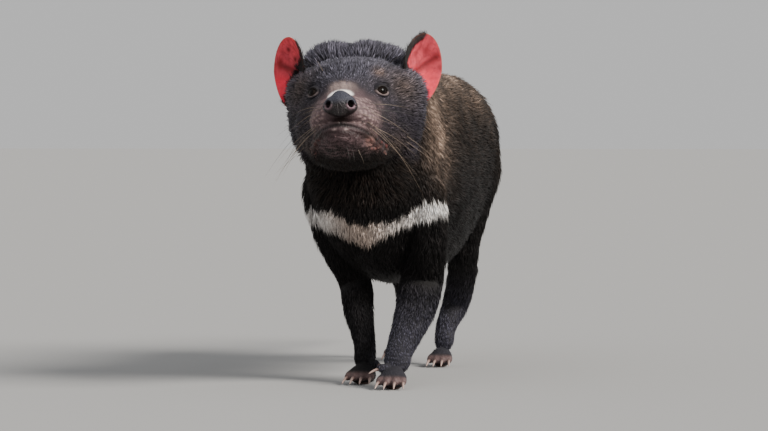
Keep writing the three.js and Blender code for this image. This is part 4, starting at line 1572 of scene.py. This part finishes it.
def make_coat(sizes):
    """The coat of the whole body, in pieces by region."""
    mesh = bpy.data.objects["skin"].data
    points = points_of(mesh)
    tris = triangles_of(mesh)
    facing = normals_of(points, tris)
    # Tufts follow the broad shape of the body, so that they bridge its creases
    normals = unit(relaxed(facing, edges_of(mesh), np.full(len(points), 0.6), 14))
    region, flow, measures, in_head, local = coat_field(points, normals)
    _, _, bald, muzzle = bare_skin(points, local, in_head, facing, sizes.seed)
    density = coat_density(points, local, in_head, facing, measures, bald)
    # In a crease more tufts grow and they stand up more, so that no skin shows there
    filled = relaxed(points, edges_of(mesh), np.full(len(points), 0.6), 10)
    crease = smooth_step(0.15, 0.9, ((filled - points) * facing).sum(1)) * (1 - in_head)
    measures[:, 2] += 28 * crease
    density *= 1 + 1.5 * crease
    corners, weights = scattered(points, tris, density, sizes.tufts, sizes.seed)
    p = at_places(points, corners, weights)
    n = unit(at_places(normals, corners, weights))
    lie = at_places(flow, corners, weights)
    lie = unit(lie - n * (lie * n).sum(1, keepdims=True))
    m = at_places(measures, corners, weights)
    local = moved(p, HEAD_BACK)
    # A tuft takes the colour, painted light included, that lies under its outer half
    shown = p + lie * (m[:, :1] * 0.65)
    root, tip = coat_colours(shown, moved(shown, HEAD_BACK), at_places(in_head, corners, weights), n)
    bare = at_places(muzzle, corners, weights) * smooth_step(-40, -30, local[:, 2])
    tip = mix(tip, MUZZLE_SKIN * 1.25, bare * 0.75)
    root = mix(root, MUZZLE_SKIN * 0.8, bare * 0.75)
    where = region[corners[:, 0]]
    names = [g["name"] for g in guides()] + ["head"]

    def grows_on(name):
        return np.isin(where, [i for i, other in enumerate(names) if other == name])

    torso = grows_on("trunk") & (p[:, 1] > -120)
    neck = (grows_on("trunk") & ~torso) | grows_on("nape")
    head = grows_on("head")
    left = local[:, 0] > 0
    choices = {
        "coat_face_left": (head & (local[:, 1] < 84) & left, (0, -150, 230), (0, 1, 0.2)),
        "coat_face_right": (head & (local[:, 1] < 84) & ~left, (0, -150, 230), (0, 1, 0.2)),
        "coat_crown": (head & (local[:, 1] >= 84) & (local[:, 2] >= 10), (0, -170, 260), (1, 0, 0)),
        "coat_cheeks": (head & (local[:, 1] >= 84) & (local[:, 2] < 10), (0, -180, 240), (0, 1, 0)),
        "coat_neck_upper": (neck & (p[:, 2] >= 225), (0, -140, 230), (0, 1, -0.3)),
        "coat_neck_lower": (neck & (p[:, 2] < 225), (0, -130, 200), (0, 0, 1)),
    }
    for word, here in (("left", p[:, 0] > 0), ("right", p[:, 0] <= 0)):
        half = torso & here
        choices[f"coat_flank_{word}"] = (half & (p[:, 1] < 20), (0, 0, 200), (0, 1, 0))
        choices[f"coat_rump_{word}"] = (half & (p[:, 1] >= 20), (0, 0, 200), (0, 1, 0))
    for name, leg in LEGS.items():
        choices[f"coat_{name}"] = (grows_on(name), leg["stations"][3][:3], (0, 0, 1))
    choices["coat_tail"] = (grows_on("tail"), (0, 250, 200), (0, 1, -0.15))
    short_haired = ["coat_face_left", "coat_face_right", "coat_crown"]
    for index, (name, (chosen, centre, axis)) in enumerate(choices.items()):
        if chosen.sum() == 0:
            raise RuntimeError(f"{name} has no tufts")
        unwrap = unwrapped(p[chosen], centre, axis)
        coat_piece(
            name, p[chosen], n[chosen], lie[chosen], m[chosen], root[chosen], tip[chosen], unwrap,
            sizes.seed + 10 * index, contrast=FACE_CONTRAST if name in short_haired else COAT_CONTRAST,
        )


def make_ears(sizes):
    """Both ears and the short fur on their backs and front edges."""
    for word, side in SIDES.items():
        placed, tris, own, front, radius, band = make_ear(word, side)
        normals = normals_of(placed, tris)
        edge = front * (0.02 + 1.6 * band)
        density = np.maximum((1 - front) * smooth_step(0.97, 0.9, radius), edge)
        corners, weights = scattered(placed, tris, density, EAR_TUFTS, sizes.seed + 300 + side)
        p = at_places(placed, corners, weights)
        n = unit(at_places(normals, corners, weights))
        turn = ear_matrix(side)[:3, :3]
        own_place = at_places(own, corners, weights)
        outward = np.stack([own_place[:, 0] * 0.8, np.zeros(len(p)), own_place[:, 2] + 34], 1)
        lie = unit(outward) @ turn.T
        lie = unit(lie - n * (lie * n).sum(1, keepdims=True))
        before = at_places(front, corners, weights)
        dark_here = at_places(band, corners, weights)
        longer = before * (1.5 + 5.5 * smooth_step(26, 4, own_place[:, 2]))
        length = 3.2 + longer * dark_here
        width = 0.45 + 0.15 * dark_here
        measures = np.stack([length, width, 12 + 12 * before, np.ones(len(p))], 1)
        dark = all_over(p, BLACK_FUR * 1.2)
        coat_piece(
            f"coat_ear_{word}", p, n, lie, measures, dark, dark * 3, own_place[:, [0, 2]],
            sizes.seed + 400 + side, rings=1, droop=0.0,
        )


# Whiskers

# Name, colour, and which of every five whiskers are of that kind
WHISKER_KINDS = (("dark", (0.02, 0.014, 0.012), (0, 1, 2)), ("pale", (0.22, 0.165, 0.12), (3, 4)))


def whisker_tree():
    """Geometry nodes that turn lines into tapered hairs."""
    tree = bpy.data.node_groups.new("whisker_hairs", "GeometryNodeTree")
    face = tree.interface
    face.new_socket("Geometry", in_out="INPUT", socket_type="NodeSocketGeometry")
    radius = face.new_socket("Root radius", in_out="INPUT", socket_type="NodeSocketFloat")
    radius.default_value = 0.0003
    material = face.new_socket("Material", in_out="INPUT", socket_type="NodeSocketMaterial")
    face.new_socket("Geometry", in_out="OUTPUT", socket_type="NodeSocketGeometry")
    nodes = tree.nodes
    start = nodes.new("NodeGroupInput")
    end = nodes.new("NodeGroupOutput")
    line = nodes.new("GeometryNodeMeshToCurve")
    share = nodes.new("GeometryNodeSplineParameter")
    left = calculated(tree, "SUBTRACT", 1.05, share.outputs["Factor"])
    taper = calculated(tree, "MULTIPLY", left, start.outputs["Root radius"])
    ring = nodes.new("GeometryNodeCurvePrimitiveCircle")
    ring.inputs["Resolution"].default_value = 5
    ring.inputs["Radius"].default_value = 1.0
    hair = nodes.new("GeometryNodeCurveToMesh")
    hair.inputs["Fill Caps"].default_value = True
    real = nodes.new("GeometryNodeRealizeInstances")
    painted = nodes.new("GeometryNodeSetMaterial")
    link(tree, start.outputs["Geometry"], line.inputs["Mesh"])
    link(tree, line.outputs["Curve"], hair.inputs["Curve"])
    link(tree, taper, hair.inputs["Scale"])
    link(tree, ring.outputs["Curve"], hair.inputs["Profile Curve"])
    link(tree, hair.outputs["Mesh"], real.inputs["Geometry"])
    link(tree, real.outputs["Geometry"], painted.inputs["Geometry"])
    link(tree, start.outputs["Material"], painted.inputs["Material"])
    link(tree, painted.outputs["Geometry"], end.inputs["Geometry"])
    return tree, radius.identifier, material.identifier


def whisker_roots(seed):
    """Where the rows of whiskers grow on both sides of the muzzle, in the head's frame."""
    draw = np.random.default_rng(seed)
    roots = []
    for side in (LEFT, RIGHT):
        for row in range(WHISKER_ROWS):
            for column in range(WHISKER_COLUMNS):
                y = 19 + column * 7 + draw.uniform(-1.5, 1.5)
                z = 1 - row * 5.0 + column * 0.5 + draw.uniform(-1, 1)
                x = 19 + column * 2.6 - 0.8 * abs(row - 2)
                roots.append(np.array((side * x, y, z)))
    return roots


def whisker_routes(seed):
    """Lines of the whiskers on muzzle, brows, cheeks and chin, in the head's frame."""
    draw = np.random.default_rng(seed + 1)
    routes = []

    def grow(root, direction, length, sag):
        direction = unit(np.array(direction, float) + draw.normal(0, 0.08, 3))
        t = np.linspace(0, 1, 12)[:, None]
        bend = np.array([0, 0.25, -1.0]) * sag
        bow = draw.normal(0, 0.05, 3) * length
        straight = np.array(root) - direction * 2 + direction * length * t
        routes.append(straight + (bend * length + bow) * t**2)

    for index, root in enumerate(whisker_roots(seed)):
        row, column = divmod(index % (WHISKER_ROWS * WHISKER_COLUMNS), WHISKER_COLUMNS)
        side = np.sign(root[0])
        length = 20 + 7.5 * column + 5 * row + draw.uniform(-8, 8)
        direction = (side * 0.95, 0.45 + 0.07 * column, 0.16 - 0.2 * row)
        grow(root, direction, length, 0.1 + 0.06 * row)
    for side in (LEFT, RIGHT):
        for k in range(3):
            root = (side * (21 + 3 * k), 66 + 2 * k, 37)
            grow(root, (side * (0.35 + 0.1 * k), 0.3, 0.9), 26 + 4 * k, 0.2)
        for k in range(3):
            grow((side * 50, 92 + 4 * k, -14 - 5 * k), (side * 0.7, 0.5, -0.45), 34 + 4 * k, 0.15)
        for k in range(3):
            root = (side * (5 + 4 * k), 14 + 6 * k, -39)
            grow(root, (side * 0.35, -0.1, -1), 12 + draw.uniform(0, 6), 0.1)
    return routes


def held_in(route):
    """A whisker's line, shortened where it would reach too far past the body's sides."""
    across = moved(route, HEAD)[:, 0] - SHIFT[0]
    far = np.abs(across).max()
    at_root = abs(across[0])
    share = 1
    if far > WHISKER_REACH:
        share = min(1, (WHISKER_REACH - at_root) / max(far - at_root, 1e-6))
    return route[0] + (route - route[0]) * share


def hair_material(name, colour):
    """A plain stiff hair."""
    material, tree, shader = new_material(name)
    grained(tree, shader, colour, 160.0, 0.5, 0.1, 0.0001)
    shader.inputs["Roughness"].default_value = 0.4
    return material


def make_whiskers(sizes):
    """Tapered whiskers, most of them dark and some pale."""
    routes = whisker_routes(sizes.seed + 50)
    skin = bpy.data.objects["skin"]
    for word, colour, group in WHISKER_KINDS:
        points, pairs = [], []
        for index, route in enumerate(routes):
            if index % 5 not in group:
                continue
            start = sum(len(r) for r in points)
            points.append(held_in(on_skin(route, skin)))
            pairs += [(start + i, start + i + 1) for i in range(len(route) - 1)]
        mesh = bpy.data.meshes.new("whisker_lines")
        lines = (moved(np.vstack(points), HEAD) - SHIFT) * MM
        mesh.from_pydata(lines.tolist(), pairs, [])
        obj = bpy.data.objects.new("whisker_lines", mesh)
        bpy.context.scene.collection.objects.link(obj)
        tree, radius, material = whisker_tree()
        hairs = obj.modifiers.new("Hairs", "NODES")
        hairs.node_group = tree
        hairs[radius] = sizes.whisker_radius
        hairs[material] = hair_material(f"devil_whisker_{word}", colour)
        made = applied(obj)
        made.materials.clear()
        made.polygons.foreach_set("use_smooth", np.full(len(made.polygons), True))
        piece(f"whiskers_{word}", made, bpy.data.materials[f"devil_whisker_{word}"])


def on_skin(route, skin):
    """A whisker's line moved so that it starts just inside the skin."""
    root = (moved(route[:1], HEAD)[0] - SHIFT) * MM
    found, place, _, _ = skin.closest_point_on_mesh(Vector(root))
    if not found:
        raise RuntimeError("a whisker found no skin")
    target = moved(np.array([place]) / MM + SHIFT, HEAD_BACK)[0]
    direction = unit(route[1] - route[0])
    return route + (target - direction * 1.5 - route[0])


# Stage


def make_sun(name, towards, strength, spread, colour):
    """A soft, even light from far away. The direction points to the light."""
    data = bpy.data.lights.new(name, "SUN")
    data.energy = strength
    data.angle = math.radians(spread)
    data.color = colour
    light = bpy.data.objects.new(name, data)
    light.rotation_euler = Vector(towards).to_track_quat("Z", "Y").to_euler()
    bpy.context.scene.collection.objects.link(light)


def make_stage(sizes):
    """A pale floor, soft light and the camera."""
    mesh = bpy.data.meshes.new("floor")
    size = FLOOR_HALF
    corners = [(-size, -size, 0), (size, -size, 0), (size, size, 0), (-size, size, 0)]
    mesh.from_pydata(corners, [], [(0, 1, 2, 3)])
    floor = bpy.data.objects.new("floor", mesh)
    bpy.context.scene.collection.objects.link(floor)
    # The floor is just bright enough to match the sky at the horizon
    lit = sizes.sky
    for towards, strength in ((SUN_TOWARDS, sizes.sun), (FILL_TOWARDS, sizes.fill)):
        lit += strength * Vector(towards).normalized().z / math.pi
    material, _, shader = new_material("pale_floor")
    shader.inputs["Base Color"].default_value = (*[sizes.sky / lit] * 3, 1)
    shader.inputs["Roughness"].default_value = 1.0
    shader.inputs["Specular IOR Level"].default_value = 0.0
    mesh.materials.append(material)
    world = bpy.data.worlds.new("studio")
    world.use_nodes = True
    world.node_tree.nodes["Background"].inputs["Color"].default_value = (1, 1, 1, 1)
    world.node_tree.nodes["Background"].inputs["Strength"].default_value = sizes.sky
    bpy.context.scene.world = world
    make_sun("sun", SUN_TOWARDS, sizes.sun, 25, (1, 0.95, 0.88))
    make_sun("fill", FILL_TOWARDS, sizes.fill, 60, (0.96, 0.98, 1))
    make_camera()


def make_camera():
    """The camera at the photograph's viewing angle."""
    a = math.radians(CAMERA_AZIMUTH)
    tilt = math.atan((IMAGE_HEIGHT / 2 - HORIZON_ROW) / FOCAL_PIXELS)
    away = CAMERA_DISTANCE
    x = CAMERA_SIDEWAYS * math.cos(a) + away * math.sin(a)
    y = CAMERA_SIDEWAYS * math.sin(a) - away * math.cos(a)
    data = bpy.data.cameras.new("camera")
    data.sensor_width = SENSOR
    data.lens = SENSOR * FOCAL_PIXELS / IMAGE_WIDTH
    data.clip_end = 200
    camera = bpy.data.objects.new("camera", data)
    camera.location = Vector((np.array([x, y, CAMERA_HEIGHT]) - SHIFT) * MM)
    camera.rotation_euler = (math.pi / 2 - tilt, 0, a)
    bpy.context.scene.collection.objects.link(camera)
    bpy.context.scene.camera = camera


# The add-on


class DevilSizes(bpy.types.PropertyGroup):
    """Sizes and amounts that change how the animal is built."""

    voxel: FloatProperty(
        name="Skin grain", description="Size of the cells that fuse the skin", default=0.0013,
        unit="LENGTH", subtype="DISTANCE", precision=5,
    )
    thinning: FloatProperty(
        name="Thinning", description="Share of the skin's faces that is kept", default=0.34,
        min=0.05, max=1, subtype="FACTOR",
    )
    tufts: FloatProperty(
        name="Tufts", description="Tufts for each square millimetre of the body's skin", default=0.40,
        min=0.01, max=2,
    )
    seed: IntProperty(name="Seed", description="Start of the random draws", default=7)
    whisker_radius: FloatProperty(
        name="Whisker radius", description="Half the thickness of a whisker at its root", default=0.00021,
        unit="LENGTH", subtype="DISTANCE", precision=5,
    )
    sky: FloatProperty(name="Sky", description="Brightness of the pale surroundings", default=0.6, min=0)
    sun: FloatProperty(
        name="Sun", description="Strength of the light from the animal's left", default=6.4, min=0,
    )
    fill: FloatProperty(name="Fill", description="Strength of the light from the front", default=0.7, min=0)


class DEVIL_OT_skin(bpy.types.Operator):
    """Fuses the body's forms into one skin and works the face into it"""

    bl_idname = "devil.skin"
    bl_label = "Skin"

    def execute(self, context):
        make_skin(context.scene.devil)
        return {"FINISHED"}


class DEVIL_OT_eyes(bpy.types.Operator):
    """Makes the eyes and their lids"""

    bl_idname = "devil.eyes"
    bl_label = "Eyes"

    def execute(self, context):
        make_eyes()
        return {"FINISHED"}


class DEVIL_OT_nose(bpy.types.Operator):
    """Makes the nose pad"""

    bl_idname = "devil.nose"
    bl_label = "Nose"

    def execute(self, context):
        make_nose()
        return {"FINISHED"}


class DEVIL_OT_ears(bpy.types.Operator):
    """Makes the ears and their fur"""

    bl_idname = "devil.ears"
    bl_label = "Ears"

    def execute(self, context):
        make_ears(context.scene.devil)
        return {"FINISHED"}


class DEVIL_OT_claws(bpy.types.Operator):
    """Makes the claws of the four paws"""

    bl_idname = "devil.claws"
    bl_label = "Claws"

    def execute(self, context):
        make_claws()
        return {"FINISHED"}


class DEVIL_OT_coat(bpy.types.Operator):
    """Grows the coat over the skin"""

    bl_idname = "devil.coat"
    bl_label = "Coat"

    def execute(self, context):
        make_coat(context.scene.devil)
        return {"FINISHED"}


class DEVIL_OT_whiskers(bpy.types.Operator):
    """Makes the whiskers"""

    bl_idname = "devil.whiskers"
    bl_label = "Whiskers"

    def execute(self, context):
        make_whiskers(context.scene.devil)
        return {"FINISHED"}


class DEVIL_OT_stage(bpy.types.Operator):
    """Makes the floor, the lights and the camera"""

    bl_idname = "devil.stage"
    bl_label = "Stage"

    def execute(self, context):
        make_stage(context.scene.devil)
        return {"FINISHED"}


STEPS = (
    DEVIL_OT_skin,
    DEVIL_OT_eyes,
    DEVIL_OT_nose,
    DEVIL_OT_ears,
    DEVIL_OT_claws,
    DEVIL_OT_coat,
    DEVIL_OT_whiskers,
    DEVIL_OT_stage,
)


class DEVIL_PT_panel(bpy.types.Panel):
    """The steps and sizes of the animal"""

    bl_idname = "DEVIL_PT_panel"
    bl_label = "Tasmanian devil"
    bl_space_type = "VIEW_3D"
    bl_region_type = "UI"
    bl_category = "Devil"

    def draw(self, context):
        for name in DevilSizes.__annotations__:
            self.layout.prop(context.scene.devil, name)
        for step in STEPS:
            self.layout.operator(step.bl_idname)


def register():
    """Adds the classes and the sizes."""
    for cls in (DevilSizes, *STEPS, DEVIL_PT_panel):
        bpy.utils.register_class(cls)
    bpy.types.Scene.devil = PointerProperty(type=DevilSizes)


def unregister():
    """Removes the classes and the sizes."""
    del bpy.types.Scene.devil
    for cls in reversed((DevilSizes, *STEPS, DEVIL_PT_panel)):
        bpy.utils.unregister_class(cls)


def main():
    """Builds the whole animal and its stage."""
    register()
    bpy.ops.devil.skin()
    bpy.ops.devil.eyes()
    bpy.ops.devil.nose()
    bpy.ops.devil.ears()
    bpy.ops.devil.claws()
    bpy.ops.devil.coat()
    bpy.ops.devil.whiskers()
    bpy.ops.devil.stage()


if __name__ == "__main__":
    main()
